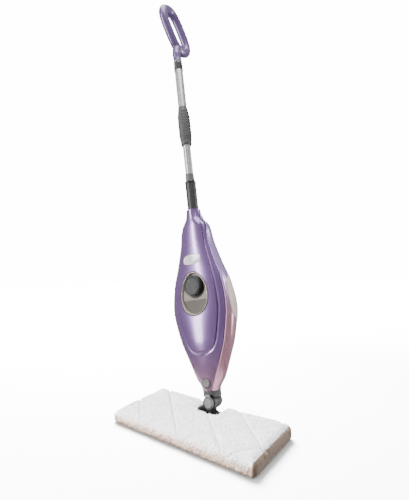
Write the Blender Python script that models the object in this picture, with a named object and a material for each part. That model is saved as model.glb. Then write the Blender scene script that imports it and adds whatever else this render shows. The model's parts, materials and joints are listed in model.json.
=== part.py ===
"""Steam mop: padded head, two-axis swivel, leaf-shaped steam body, two-piece pole and loop handle.

Metres, +Z up. The origin is on the floor at the middle of the pad's sole, +X runs along the head,
-Y is the front. Everything above the swivel is drawn in the pole's own frame, whose +Z runs up the
pole from the swivel centre, and the whole of it hangs on two empties that lean it back and sideways.
"""

import math

import bmesh
import bpy
from mathutils import Matrix, Vector

for old in list(bpy.data.objects):
    bpy.data.objects.remove(old, do_unlink=True)

# ---- driving dimensions, metres and degrees ----
GAP = 0.0003                # clearance between pieces that touch
RUN = 0.0004                # radial clearance of a turning or sliding fit
TURN = 28                   # sides of the round pieces
SMALL_TURN = 16             # sides of pins, screws and hoses

LEAN_BACK = 7.5             # how far the joint is tipped back at rest
LEAN_SIDE = 12.8            # how far the body is rolled towards -X at rest

# head and pad
HEAD_LENGTH = 0.303
HEAD_DEPTH = 0.126
HEAD_CORNER = 0.010
PAD_RIM = 0.0125            # padding around the head's edge
PAD_CORNER = 0.0140
PAD_SOLE = 0.0060           # padding under the head
PAD_TOP = 0.0052            # padding over the head
PAD_ROUND = 0.0080
POCKET_PLAY = 0.0006        # room between the head and the pad's pocket
MOUTH_HALF_X = 0.029        # opening in the pad's top around the swivel
MOUTH_FRONT = 0.020
MOUTH_FLOOR = 0.0100        # how deep the opening cuts the pad's rear edge
MOUTH_ROUND = 0.014
PLATE = 0.0018              # base plate
COVER_HEIGHT = 0.0145       # top cover, outside
COVER_WALL = 0.0020
WELL_HALF_X = 0.022         # well in the cover that the swivel moves in
WELL_FRONT = 0.030
JET_RADIUS = 0.0020
JET_SPACING = 0.040
JETS = 6
MANIFOLD_DEPTH = 0.014
MANIFOLD_HEIGHT = 0.0075
HEAD_SCREW_X = 0.126
HEAD_SCREW_Y = 0.047

# swivel
SWIVEL_Y = 0.052            # swivel centre behind the pad's middle
SWIVEL_Z = 0.040
SWIVEL_ARM = 0.0210         # pitch pin to roll pin
BARREL_RADIUS = 0.0140
BARREL_HALF = 0.0130
LUG_RADIUS = 0.0050
LUG_HALF = 0.0072
CHEEK = 0.0042
PITCH_PIN_RADIUS = 0.0020
ROLL_PIN_RADIUS = 0.0030
BUSH_WALL = 0.0013
EYE_RADIUS = 0.0115
ARM_THICK = 0.0042
COVER_DISC_RADIUS = 0.0125
COVER_DISC_THICK = 0.0025
ARCH_CLEAR = 0.0038         # neck collar's arch above the barrel

# body
BODY_BOTTOM = 0.0235        # height of the shells' lower edge above the swivel
BODY_LENGTH = 0.4050
BODY_HALF_WIDTH = 0.0785
BODY_FRONT = 0.0315         # pole axis to the front face at the widest place
BODY_REAR = 0.0570          # pole axis to the rear face there
NECK_RADIUS = 0.0197
NECK_FRONT = 0.0185
WALL = 0.0020
TONGUE_RAISE = 0.0015
OVAL_SIDE_ROOM = 0.0148     # beside the filler knob
OVAL_END_ROOM = 0.0264      # above and below the knob, if it sat in the middle
OVAL_HEIGHT = 0.2290        # above the swivel
OVAL_RIM = 0.0036
OVAL_RECESS = 0.0065
PANEL = 0.0020
CAP_ABOVE_MIDDLE = 0.0170   # knob's centre above the oval's
CAP_RADIUS = 0.0224
CAP_THICK = 0.0105
FILLER_RADIUS = 0.0105      # bore of the filler neck
FILLER_WALL = 0.0028
BUTTON_HEIGHT = 0.0395
BUTTON_RADIUS = 0.0086
BUTTON_RIM = 0.0014
WINDOW_HEIGHT = 0.2190
WINDOW_HALF_HEIGHT = 0.0550
WINDOW_ANGLE = 110.0        # around the body from the front
WINDOW_HALF_ANGLE = 27.0
WINDOW_THICK = 0.0022
TANK_FRONT = 0.0010
TANK_BOTTOM = 0.1500
TANK_TOP = 0.2650
TANK_WALL = 0.0020
TANK_ROOM = 0.0015          # between the tank and the rear shell
BOILER_RADIUS = 0.0165
BOILER_BOTTOM = 0.0680
BOILER_TOP = 0.1220
BOILER_Y = 0.0080
PUMP_RADIUS = 0.0110
PUMP_BOTTOM = 0.2730
PUMP_TOP = 0.3130
PUMP_STROKE = 0.022
ROD_RADIUS = 0.0030
SPRING_RADIUS = 0.0072
SPRING_WIRE = 0.0007
HOSE_RADIUS = 0.0030
GLAND_HEIGHT = 0.3350
GLAND_RADIUS = 0.0065
GLAND_FLANGE = 0.0083
GLAND_SEAT = 0.0012         # flange's underside outside the skin at the gland's axis

# pole
DARK_RADIUS = 0.0131        # dark pump tube
DARK_WALL = 0.0020
GUIDE_WALL = 0.0012         # bush between the dark tube and the shells
DARK_BOTTOM = 0.3600
DARK_TOP = 0.4975
FLANGE_LIP = 0.00055        # flange beyond the dark tube
FLANGE_HEIGHT = 0.0062
SMALL_COLLAR_RADIUS = 0.0110
SMALL_COLLAR_HEIGHT = 0.0180
LOWER_RADIUS = 0.0097       # lower bright tube
UPPER_RADIUS = 0.0110       # upper bright tube, which the lower one slides into
TUBE_WALL = 0.0010
LOWER_FOOT = 0.4700
LOWER_TOP = 0.6700
SLEEVE_BOTTOM = 0.6015
SLEEVE_LENGTH = 0.1070
SLEEVE_RADIUS = 0.0157
SLEEVE_END_RADIUS = 0.0133
STRIP_HALF_ANGLE = 48.0     # black rear strip of the sleeve
LATCH_HEIGHT = 0.6870
LATCH_HALF_WIDTH = 0.0050
LATCH_HALF_HEIGHT = 0.0095
UPPER_FOOT = 0.6300
TOP_COLLAR_BOTTOM = 0.8225
TOP_COLLAR_HEIGHT = 0.0250
TOP_COLLAR_RADIUS = 0.0122

# handle
STEM_RADIUS = 0.0094
LOOP_LIMB_X = 0.0112        # half thickness of the loop across its plane
LOOP_LIMB = 0.0121          # half thickness of the loop in its plane
LOOP_HALF_LENGTH = 0.0580
LOOP_HALF_WIDTH = 0.0322
LOOP_Y = 0.0022
LOOP_HEIGHT = 0.9505
LOOP_TILT = 32.0
LOOP_SQUARE = 2.8           # 2 is an ellipse, higher is squarer

# ---- heights and places worked out from them ----
SOLE_TOP = PAD_SOLE
PLATE_BOTTOM = SOLE_TOP + GAP
PLATE_TOP = PLATE_BOTTOM + PLATE
COVER_BOTTOM = PLATE_TOP + GAP
COVER_TOP = COVER_BOTTOM + COVER_HEIGHT
PAD_HEIGHT = COVER_TOP + GAP + PAD_TOP
BODY_TOP = BODY_BOTTOM + BODY_LENGTH
SPIGOT_TOP = BUTTON_HEIGHT + 0.006
GUIDE_RADIUS = DARK_RADIUS + RUN
FLANGE_RADIUS = DARK_RADIUS + FLANGE_LIP
COLLAR_RADIUS = GUIDE_RADIUS + GUIDE_WALL + GAP + WALL
OVAL_HALF_WIDTH = CAP_RADIUS + OVAL_SIDE_ROOM
OVAL_HALF_HEIGHT = CAP_RADIUS + OVAL_END_ROOM
CAP_HEIGHT = OVAL_HEIGHT + CAP_ABOVE_MIDDLE
OVAL_FACE = BODY_FRONT + TONGUE_RAISE
PANEL_FACE = OVAL_FACE - OVAL_RECESS
PITCH_ROOT = Vector((0, SWIVEL_Y - SWIVEL_ARM * math.sin(math.radians(LEAN_BACK)),
                     SWIVEL_Z - SWIVEL_ARM * math.cos(math.radians(LEAN_BACK))))

# share of the body's half width, front depth and rear depth at each share of its length
BODY_OUTLINE = [
    (0.00, 0.00, 0.00, 0.00),
    (0.06, 0.25, 0.06, 0.22),
    (0.16, 0.54, 0.36, 0.53),
    (0.27, 0.81, 0.72, 0.82),
    (0.43, 1.00, 1.00, 1.00),
    (0.55, 0.89, 0.94, 0.92),
    (0.68, 0.62, 0.62, 0.70),
    (0.80, 0.40, 0.36, 0.52),
    (0.895, 0.275, 0.20, 0.38),
    (0.95, 0.04, 0.06, 0.12),
    (1.00, 0.00, 0.00, 0.00),
]
# angle of the seam between the shells, and half angle of the raised tongue, at shares of the length
SEAM_LINE = [(0.00, 34), (0.06, 36), (0.10, 42), (0.15, 48), (0.20, 52.5), (0.27, 56.5), (0.43, 61),
             (0.60, 65), (0.73, 63), (0.84, 66), (0.895, 76), (0.95, 84), (1.00, 88)]
TONGUE_TIP = 0.180
TONGUE_EDGE = 4             # column of the front shell at the tongue's edge
TONGUE_LINE = [(0.180, 3), (0.193, 13), (0.215, 23), (0.25, 30), (0.31, 34), (0.43, 38), (0.58, 40),
               (0.73, 42), (0.86, 44), (0.93, 47), (1.00, 54)]


# ---- curves ----
def smooth_value(table, t, column=1):
    """Value of one column of a table at t, on a smooth curve through its rows."""
    t = min(max(t, table[0][0]), table[-1][0])
    i = 0
    while i < len(table) - 2 and t > table[i + 1][0]:
        i += 1
    x0, x1 = table[i][0], table[i + 1][0]
    y0, y1 = table[i][column], table[i + 1][column]

    def slope(k):
        if k <= 0 or k >= len(table) - 1:
            return 0.0
        before = (table[k][column] - table[k - 1][column]) / (table[k][0] - table[k - 1][0])
        after = (table[k + 1][column] - table[k][column]) / (table[k + 1][0] - table[k][0])
        if before * after <= 0:
            return 0.0
        return 2 * before * after / (before + after)

    h = x1 - x0
    u = (t - x0) / h
    return ((2 * u ** 3 - 3 * u ** 2 + 1) * y0 + (u ** 3 - 2 * u ** 2 + u) * h * slope(i)
            + (3 * u ** 2 - 2 * u ** 3) * y1 + (u ** 3 - u ** 2) * h * slope(i + 1))


def power(value, exponent):
    return math.copysign(abs(value) ** exponent, value)


def body_section(height):
    """Half width, front depth, rear depth and squareness of the body at a height above the swivel."""
    t = (height - BODY_BOTTOM) / BODY_LENGTH
    end = NECK_RADIUS + (COLLAR_RADIUS - NECK_RADIUS) * t
    end_front = NECK_FRONT + (COLLAR_RADIUS - NECK_FRONT) * t
    wide = smooth_value(BODY_OUTLINE, t, 1)
    half = end + (BODY_HALF_WIDTH - end) * wide
    front = end_front + (BODY_FRONT - end_front) * smooth_value(BODY_OUTLINE, t, 2)
    rear = end + (BODY_REAR - end) * smooth_value(BODY_OUTLINE, t, 3)
    return half, front, rear, 2.0 + 0.4 * wide


def body_point(height, angle, inset=0.0):
    """Point of the body's skin at an angle from the front (degrees, + towards +X), set in by inset."""
    half, front, rear, square = body_section(height)
    a = math.radians(angle)
    s, c = math.sin(a), math.cos(a)
    depth = front if c >= 0 else rear
    x = (half - inset) * power(s, 2 / square)
    y = -(depth - inset) * power(c, 2 / square)
    return Vector((x, y, height))


def front_face(x, height):
    """How far in front of the pole axis the body's skin is at x."""
    half, front, _, square = body_section(height)
    u = min(abs(x) / half, 0.999)
    return front * (1 - u ** square) ** (1 / square)


# ---- materials ----
def finish(name, colour, roughness, metallic=0.0):
    mat = bpy.data.materials.new(name)
    mat.use_nodes = True
    shader = mat.node_tree.nodes["Principled BSDF"]
    shader.inputs["Base Color"].default_value = (*colour, 1)
    shader.inputs["Roughness"].default_value = roughness
    shader.inputs["Metallic"].default_value = metallic
    return mat


LAVENDER = ((0.36, 0.25, 0.47), 0.28, 0.35)
PURPLE = ((0.30, 0.19, 0.42), 0.22, 0.1)
DARK_GREY = ((0.09, 0.09, 0.095), 0.45)
BLACK = ((0.012, 0.012, 0.013), 0.4)
MID_GREY = ((0.16, 0.165, 0.165), 0.5)
LIGHT_GREY = ((0.38, 0.38, 0.38), 0.45)
BEIGE_GREY = ((0.32, 0.29, 0.26), 0.4)
CREAM = ((0.62, 0.54, 0.48), 0.35)
SILVER = ((0.62, 0.62, 0.62), 0.22, 1.0)
STEEL = ((0.45, 0.45, 0.46), 0.3, 1.0)
BRASS = ((0.55, 0.40, 0.16), 0.35, 1.0)
TERRY = ((0.86, 0.85, 0.83), 0.95)
RUBBER = ((0.03, 0.03, 0.03), 0.8)
CLEAR_TANK = ((0.70, 0.70, 0.68), 0.2)


# ---- objects ----
def empty(name, place, turn=(0, 0, 0), parent=None):
    frame = bpy.data.objects.new(name, None)
    frame.location = place
    frame.rotation_euler = [math.radians(v) for v in turn]
    frame.parent = parent
    bpy.context.scene.collection.objects.link(frame)
    return frame


def add(name, bm, parent, look=None, sharp=35):
    """Make an object of a closed bmesh. Without a look it is a cutter or another guide."""
    bmesh.ops.recalc_face_normals(bm, faces=bm.faces)
    if bm.calc_volume(signed=True) < 0:
        bmesh.ops.reverse_faces(bm, faces=bm.faces)
    mesh = bpy.data.meshes.new(name)
    bm.to_mesh(mesh)
    bm.free()
    mesh.shade_smooth()
    mesh.set_sharp_from_angle(angle=math.radians(sharp))
    obj = bpy.data.objects.new(name, mesh)
    obj.parent = parent
    if look:
        mesh.materials.append(finish(name, *look))
    else:
        obj.hide_render = True
        obj.display_type = 'WIRE'
    bpy.context.scene.collection.objects.link(obj)
    return obj


def boolean(obj, other, operation):
    mod = obj.modifiers.new(other.name, 'BOOLEAN')
    mod.operation = operation
    mod.solver = 'EXACT'
    mod.object = other


def cut(obj, *cutters):
    for other in cutters:
        boolean(obj, other, 'DIFFERENCE')


def union(obj, *others):
    for other in others:
        boolean(obj, other, 'UNION')


# ---- shapes ----
def loft(bm, rings, closed=False):
    """Faces between rings of equal point counts, with flat ends, or joined end to start."""
    loops = [[bm.verts.new(p) for p in ring] for ring in rings]
    pairs = list(zip(loops, loops[1:])) + ([(loops[-1], loops[0])] if closed else [])
    for low, high in pairs:
        n = len(low)
        for i in range(n):
            j = (i + 1) % n
            bm.faces.new((low[i], low[j], high[j], high[i]))
    if not closed:
        bm.faces.new(loops[0])
        bm.faces.new(loops[-1])


def ring(radius, height, sides=TURN, centre=(0, 0)):
    step = 2 * math.pi / sides
    return [(centre[0] + radius * math.cos(i * step), centre[1] + radius * math.sin(i * step), height)
            for i in range(sides)]


def turned(profile, sides=TURN, centre=(0, 0), hollow=False):
    """Solid turned about Z from (radius, height) points; hollow profiles close on themselves."""
    bm = bmesh.new()
    loft(bm, [ring(r, z, sides, centre) for r, z in profile], closed=hollow)
    return bm


def tube(outer, inner, bottom, top, sides=TURN):
    return turned([(outer, bottom), (outer, top), (inner, top), (inner, bottom)], sides, hollow=True)


def rod(radius, bottom, top, sides=SMALL_TURN, centre=(0, 0)):
    return turned([(radius, bottom), (radius, top)], sides, centre)


def rounded(half_x, low_y, high_y, corner, steps=5):
    """Outline of a rectangle with round corners, in the XY plane."""
    points = []
    for cx, cy, start in ((half_x - corner, high_y - corner, 0), (corner - half_x, high_y - corner, 90),
                          (corner - half_x, low_y + corner, 180), (half_x - corner, low_y + corner, 270)):
        for i in range(steps + 1):
            a = math.radians(start + 90 * i / steps)
            points.append((cx + corner * math.cos(a), cy + corner * math.sin(a)))
    return points


def prism(outline, bottom, top):
    bm = bmesh.new()
    loft(bm, [[(x, y, bottom) for x, y in outline], [(x, y, top) for x, y in outline]])
    return bm


def block(low, high):
    bm = bmesh.new()
    bmesh.ops.create_cube(bm, size=1)
    size = [b - a for a, b in zip(low, high)]
    middle = [(a + b) / 2 for a, b in zip(low, high)]
    bmesh.ops.transform(bm, matrix=Matrix.Translation(middle) @ Matrix.Diagonal((*size, 1)), verts=bm.verts)
    return bm


def turn_to(bm, axis):
    """Turn a shape made about Z so that its +Z points along X, +Y or -Y."""
    spin = {'X': Matrix.Rotation(math.radians(90), 4, 'Y'),
            '+Y': Matrix.Rotation(math.radians(-90), 4, 'X'),
            '-Y': Matrix.Rotation(math.radians(90), 4, 'X')}[axis]
    bmesh.ops.transform(bm, matrix=spin, verts=bm.verts)
    return bm


def shift(bm, x=0.0, y=0.0, z=0.0):
    bmesh.ops.translate(bm, vec=(x, y, z), verts=bm.verts)
    return bm


def swept(path, half_across, half_along, sides=12, closed=False):
    """Solid of elliptical section along points in the YZ plane or in space."""
    points = [Vector(p) for p in path]
    rings = []
    count = len(points)
    for i, p in enumerate(points):
        before = points[(i - 1) % count] if closed or i > 0 else p
        after = points[(i + 1) % count] if closed or i < count - 1 else p
        along = (after - before).normalized()
        across = Vector((1, 0, 0)) if abs(along.x) < 0.7 else Vector((0, 0, 1))
        normal = along.cross(across).normalized()
        across = normal.cross(along).normalized()
        rings.append([p + across * half_across * math.cos(2 * math.pi * k / sides)
                      + normal * half_along * math.sin(2 * math.pi * k / sides) for k in range(sides)])
    bm = bmesh.new()
    loft(bm, rings, closed=closed)
    return bm


def coil(radius, wire, bottom, top, turns, sides=5, per_turn=10):
    count = int(turns * per_turn)
    path = [(radius * math.cos(2 * math.pi * i / per_turn), radius * math.sin(2 * math.pi * i / per_turn),
             bottom + (top - bottom) * i / count) for i in range(count + 1)]
    points = [Vector(p) for p in path]
    rings = []
    for i, p in enumerate(points):
        out = Vector((p.x, p.y, 0)).normalized()
        rings.append([p + (out * math.cos(2 * math.pi * k / sides)
                           + Vector((0, 0, 1)) * math.sin(2 * math.pi * k / sides)) * wire
                      for k in range(sides)])
    bm = bmesh.new()
    loft(bm, rings)
    return bm


def spread(low, high, count):
    return [low + (high - low) * i / (count - 1) for i in range(count)]


# ---- frames: the head's, the pitch pin's and the roll pin's ----
head_frame = empty("head_frame", (0, 0, 0))
pitch_frame = empty("pitch_frame", PITCH_ROOT, (-LEAN_BACK, 0, 0), head_frame)
roll_frame = empty("roll_frame", (0, 0, SWIVEL_ARM), (0, -LEAN_SIDE, 0), pitch_frame)
cap_frame = empty("cap_frame", (0, 0, CAP_HEIGHT), (90, 0, 0), roll_frame)
button_frame = empty("button_frame", (0, 0, BUTTON_HEIGHT), (90, 0, 0), roll_frame)
latch_frame = empty("latch_frame", (0, 0, LATCH_HEIGHT), (-90, 0, 0), roll_frame)


# ---- head ----
def make_head():
    half_x, half_y = HEAD_LENGTH / 2, HEAD_DEPTH / 2
    out_x, out_y = half_x + POCKET_PLAY + PAD_RIM, half_y + POCKET_PLAY + PAD_RIM

    # the padded pocket: a soft slab around the head, open around the swivel
    bm = bmesh.new()
    rise = [(0.0025, 0.0), (0.0, PAD_ROUND * 0.4), (0.0, PAD_HEIGHT - PAD_ROUND),
            (PAD_ROUND * 0.3, PAD_HEIGHT - PAD_ROUND * 0.3), (PAD_ROUND, PAD_HEIGHT)]
    rings = []
    for inset, z in rise:
        outline = rounded(out_x - inset, inset - out_y, out_y - inset, PAD_CORNER - inset)
        rings.append([(x, y, z) for x, y in outline])
    loft(bm, rings)
    pad = add("mop_pad", bm, head_frame, TERRY)
    play = POCKET_PLAY
    pocket = add("pocket_cutter", prism(rounded(half_x + play, -half_y - play, half_y + play,
                                                HEAD_CORNER + play),
                                        SOLE_TOP, COVER_TOP + GAP), head_frame)
    mouth = add("mouth_cutter", prism(rounded(MOUTH_HALF_X, MOUTH_FRONT, 2 * out_y, MOUTH_ROUND),
                                      MOUTH_FLOOR, 2 * PAD_HEIGHT), head_frame)
    cut(pad, pocket, mouth)

    # base plate with its steam holes
    outline = rounded(half_x, -half_y, half_y, HEAD_CORNER)
    plate = add("head_base_plate", prism(outline, PLATE_BOTTOM, PLATE_TOP), head_frame, DARK_GREY)
    jet_y = WELL_FRONT - GAP - MANIFOLD_DEPTH
    jets = [(i - (JETS - 1) / 2) * JET_SPACING for i in range(JETS)]
    for i, x in enumerate(jets):
        cut(plate, add(f"jet_cutter_{i}", rod(JET_RADIUS, 0, COVER_TOP, 8, (x, jet_y)), head_frame))

    # top cover: a shallow lid with the swivel's well and four screw posts
    cover = add("head_cover", prism(outline, COVER_BOTTOM, COVER_TOP), head_frame, DARK_GREY)
    inner = rounded(half_x - COVER_WALL, COVER_WALL - half_y, half_y - COVER_WALL, HEAD_CORNER - COVER_WALL)
    hollow = add("cover_cutter", prism(inner, 0, COVER_TOP - COVER_WALL), head_frame)
    well = add("well_cutter", prism(rounded(WELL_HALF_X, WELL_FRONT, 2 * half_y, 0.008), 0, 2 * COVER_TOP),
               head_frame)
    cut(cover, hollow, well)
    post, shank, head_radius = 0.0042, 0.0015, 0.0030
    for i, (sx, sy) in enumerate(((-1, -1), (1, -1), (1, 1), (-1, 1))):
        at = (sx * HEAD_SCREW_X, sy * HEAD_SCREW_Y)
        union(cover, add(f"post_guide_{i}", rod(post, COVER_BOTTOM, COVER_TOP - COVER_WALL / 2, 12, at),
                         head_frame))
        cut(cover, add(f"post_cutter_{i}", rod(shank + GAP, 0, COVER_TOP - 2 * COVER_WALL, 12, at),
                       head_frame))
        cut(plate, add(f"plate_cutter_{i}", rod(head_radius + GAP, 0, COVER_TOP, 12, at), head_frame))
        add(f"head_screw_{i + 1}", turned([(head_radius, PLATE_BOTTOM), (head_radius, PLATE_TOP),
                                           (shank, PLATE_TOP), (shank, COVER_TOP - 3 * COVER_WALL)], 12,
                                           at),
            head_frame, STEEL)

    # steam manifold above the holes
    reach = JETS / 2 * JET_SPACING
    bottom = PLATE_TOP + GAP
    low = (-reach, jet_y - MANIFOLD_DEPTH / 2, bottom)
    manifold = add("steam_manifold", block(low, (reach, jet_y + MANIFOLD_DEPTH / 2,
                                                 bottom + MANIFOLD_HEIGHT)),
                   head_frame, MID_GREY)
    for i, x in enumerate(jets):
        cut(manifold, add(f"nozzle_cutter_{i}", rod(JET_RADIUS, 0, bottom + MANIFOLD_HEIGHT - 0.002, 8,
                                                    (x, jet_y)),
                          head_frame))

    # saddle that holds the pitch pin
    inner_x = LUG_HALF + GAP
    outer_x = inner_x + CHEEK
    y, z = PITCH_ROOT.y, PITCH_ROOT.z
    floor = PLATE_TOP + GAP
    foot = LUG_RADIUS + 0.005
    saddle = add("swivel_saddle", block((-outer_x, y - foot, floor), (outer_x, y + foot, floor + 0.0014)),
                 head_frame, BLACK)
    for side in (-1, 1):
        low_x, high_x = sorted((side * inner_x, side * outer_x))
        cheek = [(-LUG_RADIUS - 0.003, floor + 0.0007)]
        for i in range(9):
            a = math.radians(180 - 180 * i / 8)
            cheek.append(((LUG_RADIUS + 0.0002) * math.cos(a), z + (LUG_RADIUS + 0.0002) * math.sin(a)))
        cheek.append((LUG_RADIUS + 0.003, floor + 0.0007))
        bm = bmesh.new()
        loft(bm, [[(x, y + cy, cz) for cy, cz in cheek] for x in (low_x, high_x)])
        union(saddle, add(f"cheek_guide_{side + 1}", bm, head_frame))
    bore = shift(turn_to(rod(PITCH_PIN_RADIUS + RUN, -2 * outer_x, 2 * outer_x), 'X'), 0, y, z)
    cut(saddle, add("saddle_bore_cutter", bore, head_frame))
    pin = shift(turn_to(rod(PITCH_PIN_RADIUS, -outer_x - GAP, outer_x + GAP), 'X'), 0, y, z)
    add("pitch_pin", pin, head_frame, STEEL)


# ---- knuckle, in the pitch pin's frame ----
def make_knuckle():
    barrel = shift(turn_to(turned([(BARREL_RADIUS - 0.001, -BARREL_HALF),
                                   (BARREL_RADIUS, 0.001 - BARREL_HALF),
                                   (BARREL_RADIUS, BARREL_HALF - 0.001),
                                   (BARREL_RADIUS - 0.001, BARREL_HALF)]),
                           '+Y'), z=SWIVEL_ARM)
    knuckle = add("swivel_knuckle", barrel, pitch_frame, DARK_GREY)
    lug = [(LUG_RADIUS, SWIVEL_ARM - BARREL_RADIUS / 2)]
    for i in range(9):
        a = math.radians(-180 * i / 8)
        lug.append((LUG_RADIUS * math.cos(a), LUG_RADIUS * math.sin(a)))
    lug.append((-LUG_RADIUS, SWIVEL_ARM - BARREL_RADIUS / 2))
    bm = bmesh.new()
    loft(bm, [[(x, y, z) for y, z in lug] for x in (-LUG_HALF, LUG_HALF)])
    union(knuckle, add("lug_guide", bm, pitch_frame))
    pitch_bore = turn_to(rod(PITCH_PIN_RADIUS + RUN, -0.05, 0.05), 'X')
    roll_bore = shift(turn_to(rod(ROLL_PIN_RADIUS + RUN, -0.05, 0.05), '+Y'), z=SWIVEL_ARM)
    cut(knuckle, add("pitch_bore_cutter", pitch_bore, pitch_frame),
        add("roll_bore_cutter", roll_bore, pitch_frame))
    reach = BARREL_HALF + GAP + ARM_THICK
    add("roll_pin", shift(turn_to(rod(ROLL_PIN_RADIUS, -reach, reach), '+Y'), z=SWIVEL_ARM), pitch_frame,
        STEEL)


# ---- neck, in the roll pin's frame ----
def make_neck():
    arm_in = BARREL_HALF + GAP
    arm_out = arm_in + ARM_THICK
    block_bottom = BARREL_RADIUS + 2 * GAP
    block_radius = arm_in + 0.0017
    arch = BARREL_RADIUS + ARCH_CLEAR
    spigot = 0.0075
    fork = add("neck_fork", turned([(block_radius, block_bottom), (block_radius, BODY_BOTTOM + 0.002),
                                    (spigot, BODY_BOTTOM + 0.003), (spigot, SPIGOT_TOP)]),
               roll_frame, BLACK)
    strip = 0.0058
    strip_top = math.sqrt(arch ** 2 - strip ** 2) - 2 * GAP
    eye = [(strip, strip_top), (-strip, strip_top)]
    start = 180 - math.degrees(math.acos(strip / EYE_RADIUS))
    for i in range(15):
        a = math.radians(start + (360 - 2 * (start - 90)) * i / 14)
        eye.append((EYE_RADIUS * math.cos(a), EYE_RADIUS * math.sin(a)))
    for side in (-1, 1):
        low_y, high_y = sorted((side * arm_in, side * arm_out))
        bm = bmesh.new()
        loft(bm, [[(x, y, z) for x, z in eye] for y in (low_y, high_y)])
        union(fork, add(f"arm_guide_{side + 1}", bm, roll_frame))
    bush_out = ROLL_PIN_RADIUS + RUN + BUSH_WALL
    bore = turn_to(rod(bush_out + GAP, -0.05, 0.05), '+Y')
    steam_way = rod(HOSE_RADIUS + GAP, BODY_BOTTOM + 0.004, 0.1, 12)
    cut(fork, add("eye_cutter", bore, roll_frame), add("steam_way_cutter", steam_way, roll_frame))
    for name, side in (("front", -1), ("rear", 1)):
        low_y, high_y = sorted((side * (arm_in + GAP / 2), side * (arm_out - GAP / 2)))
        bush = turn_to(tube(bush_out, ROLL_PIN_RADIUS + RUN, low_y, high_y, SMALL_TURN), '+Y')
        add(f"roll_bush_{name}", bush, roll_frame, BRASS)

    # collar under the shells, with an arch over the barrel
    collar = add("neck_collar", tube(NECK_RADIUS - GAP, block_radius + GAP, block_bottom - 0.004,
                                     BODY_BOTTOM - GAP), roll_frame, DARK_GREY)
    cut(collar, add("arch_cutter", turn_to(rod(arch, -0.05, 0.05, TURN), '+Y'), roll_frame))

    # covers of the roll pin: a keyhole plate in front and a plain disc behind
    low = arm_out + GAP
    plate = []
    start = 90 + math.degrees(math.asin(strip / COVER_DISC_RADIUS))
    for i in range(25):
        a = math.radians(start + (450 - 2 * (start - 90) - 90) * i / 24)
        plate.append((COVER_DISC_RADIUS * math.cos(a), COVER_DISC_RADIUS * math.sin(a)))
    plate += [(strip, strip_top), (-strip, strip_top)]
    bm = bmesh.new()
    loft(bm, [[(x, -y, z) for x, z in plate] for y in (low, low + COVER_DISC_THICK)])
    add("pin_cover_front", bm, roll_frame, LIGHT_GREY)
    rear = turn_to(turned([(EYE_RADIUS, low), (EYE_RADIUS, low + 0.0012),
                           (EYE_RADIUS - 0.001, low + 0.002)]), '+Y')
    add("pin_cover_rear", rear, roll_frame, BLACK)


# ---- shells of the body ----
def shell_columns(height, kind):
    """Angles around the body, front to back on one side, that a shell's points lie at."""
    t = (height - BODY_BOTTOM) / BODY_LENGTH
    seam = smooth_value(SEAM_LINE, t)
    _, front, _, _ = body_section(height)
    slack = math.degrees(GAP / 2 / max(front, 0.01))
    if kind == "front":
        edge = min(smooth_value(TONGUE_LINE, t), seam - 8)
        return [edge * f for f in (0, 0.33, 0.66, 0.94, 1.0)] + spread(edge + 1.8, seam - slack, 4)
    return spread(seam + slack, 180, 11)


def raised(height, column):
    """How far the tongue lifts the front shell at a column of shell_columns."""
    t = (height - BODY_BOTTOM) / BODY_LENGTH
    if t < TONGUE_TIP or column > TONGUE_EDGE:
        return 0.0
    full = min((t - TONGUE_TIP) / 0.012, 1.0) * min((1.0 - t) / 0.12, 1.0)
    return TONGUE_RAISE * full * (0.6 if column == TONGUE_EDGE else 1.0)


def shell_ring(height, kind):
    outer, inner = [], []
    angles = shell_columns(height, kind)
    for i, angle in enumerate(angles):
        lift = raised(height, i) if kind == "front" else 0.0
        outer.append(body_point(height, angle, -lift))
        inner.append(body_point(height, angle, WALL))
    def mirror(points):
        return [Vector((-p.x, p.y, p.z)) for p in points]
    if kind == "front":
        around = mirror(outer[:0:-1]) + outer
        back = mirror(inner[:0:-1]) + inner
    else:
        around = outer + mirror(outer[-2::-1])
        back = inner + mirror(inner[-2::-1])
    return around + back[::-1]


def shell_heights():
    shares = spread(0, 0.165, 5) + [0.18, 0.196] + spread(0.222, 0.88, 13) + [0.895, 0.92, 0.95, 1.0]
    return [BODY_BOTTOM + BODY_LENGTH * t for t in shares]


def egg(angle, inset=0.0):
    """Outline of the oval panel: an ellipse that narrows towards its top."""
    a = math.radians(angle)
    x = (OVAL_HALF_WIDTH - inset) * math.cos(a) * (1 - 0.13 * math.sin(a))
    return x, OVAL_HEIGHT + (OVAL_HALF_HEIGHT - inset) * math.sin(a)


def egg_prism(inset, y_front, y_back, sides=40):
    bm = bmesh.new()
    outline = [egg(360 * i / sides, inset) for i in range(sides)]
    loft(bm, [[(x, y, z) for x, z in outline] for y in (y_front, y_back)])
    return bm


def lens(side, grow, outside, inside, rows=13, columns=7):
    """Lens-shaped patch of the body's skin at the window, from inset -outside to inset inside."""
    bm = bmesh.new()
    rings = []
    half = WINDOW_HALF_HEIGHT + grow
    angle_grow = math.degrees(grow / BODY_REAR)
    for k in range(rows):
        u = -1 + 2 * k / (rows - 1)
        height = WINDOW_HEIGHT + half * u * 0.985
        spread_angle = max((WINDOW_HALF_ANGLE + angle_grow) * (1 - abs(u) ** 2.2), 2.5)
        angles = spread(WINDOW_ANGLE - spread_angle, WINDOW_ANGLE + spread_angle, columns)
        loop = [body_point(height, a, -outside) for a in angles]
        loop += [body_point(height, a, inside) for a in reversed(angles)]
        rings.append([Vector((side * p.x, p.y, p.z)) for p in loop])
    loft(bm, rings)
    return bm


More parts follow.
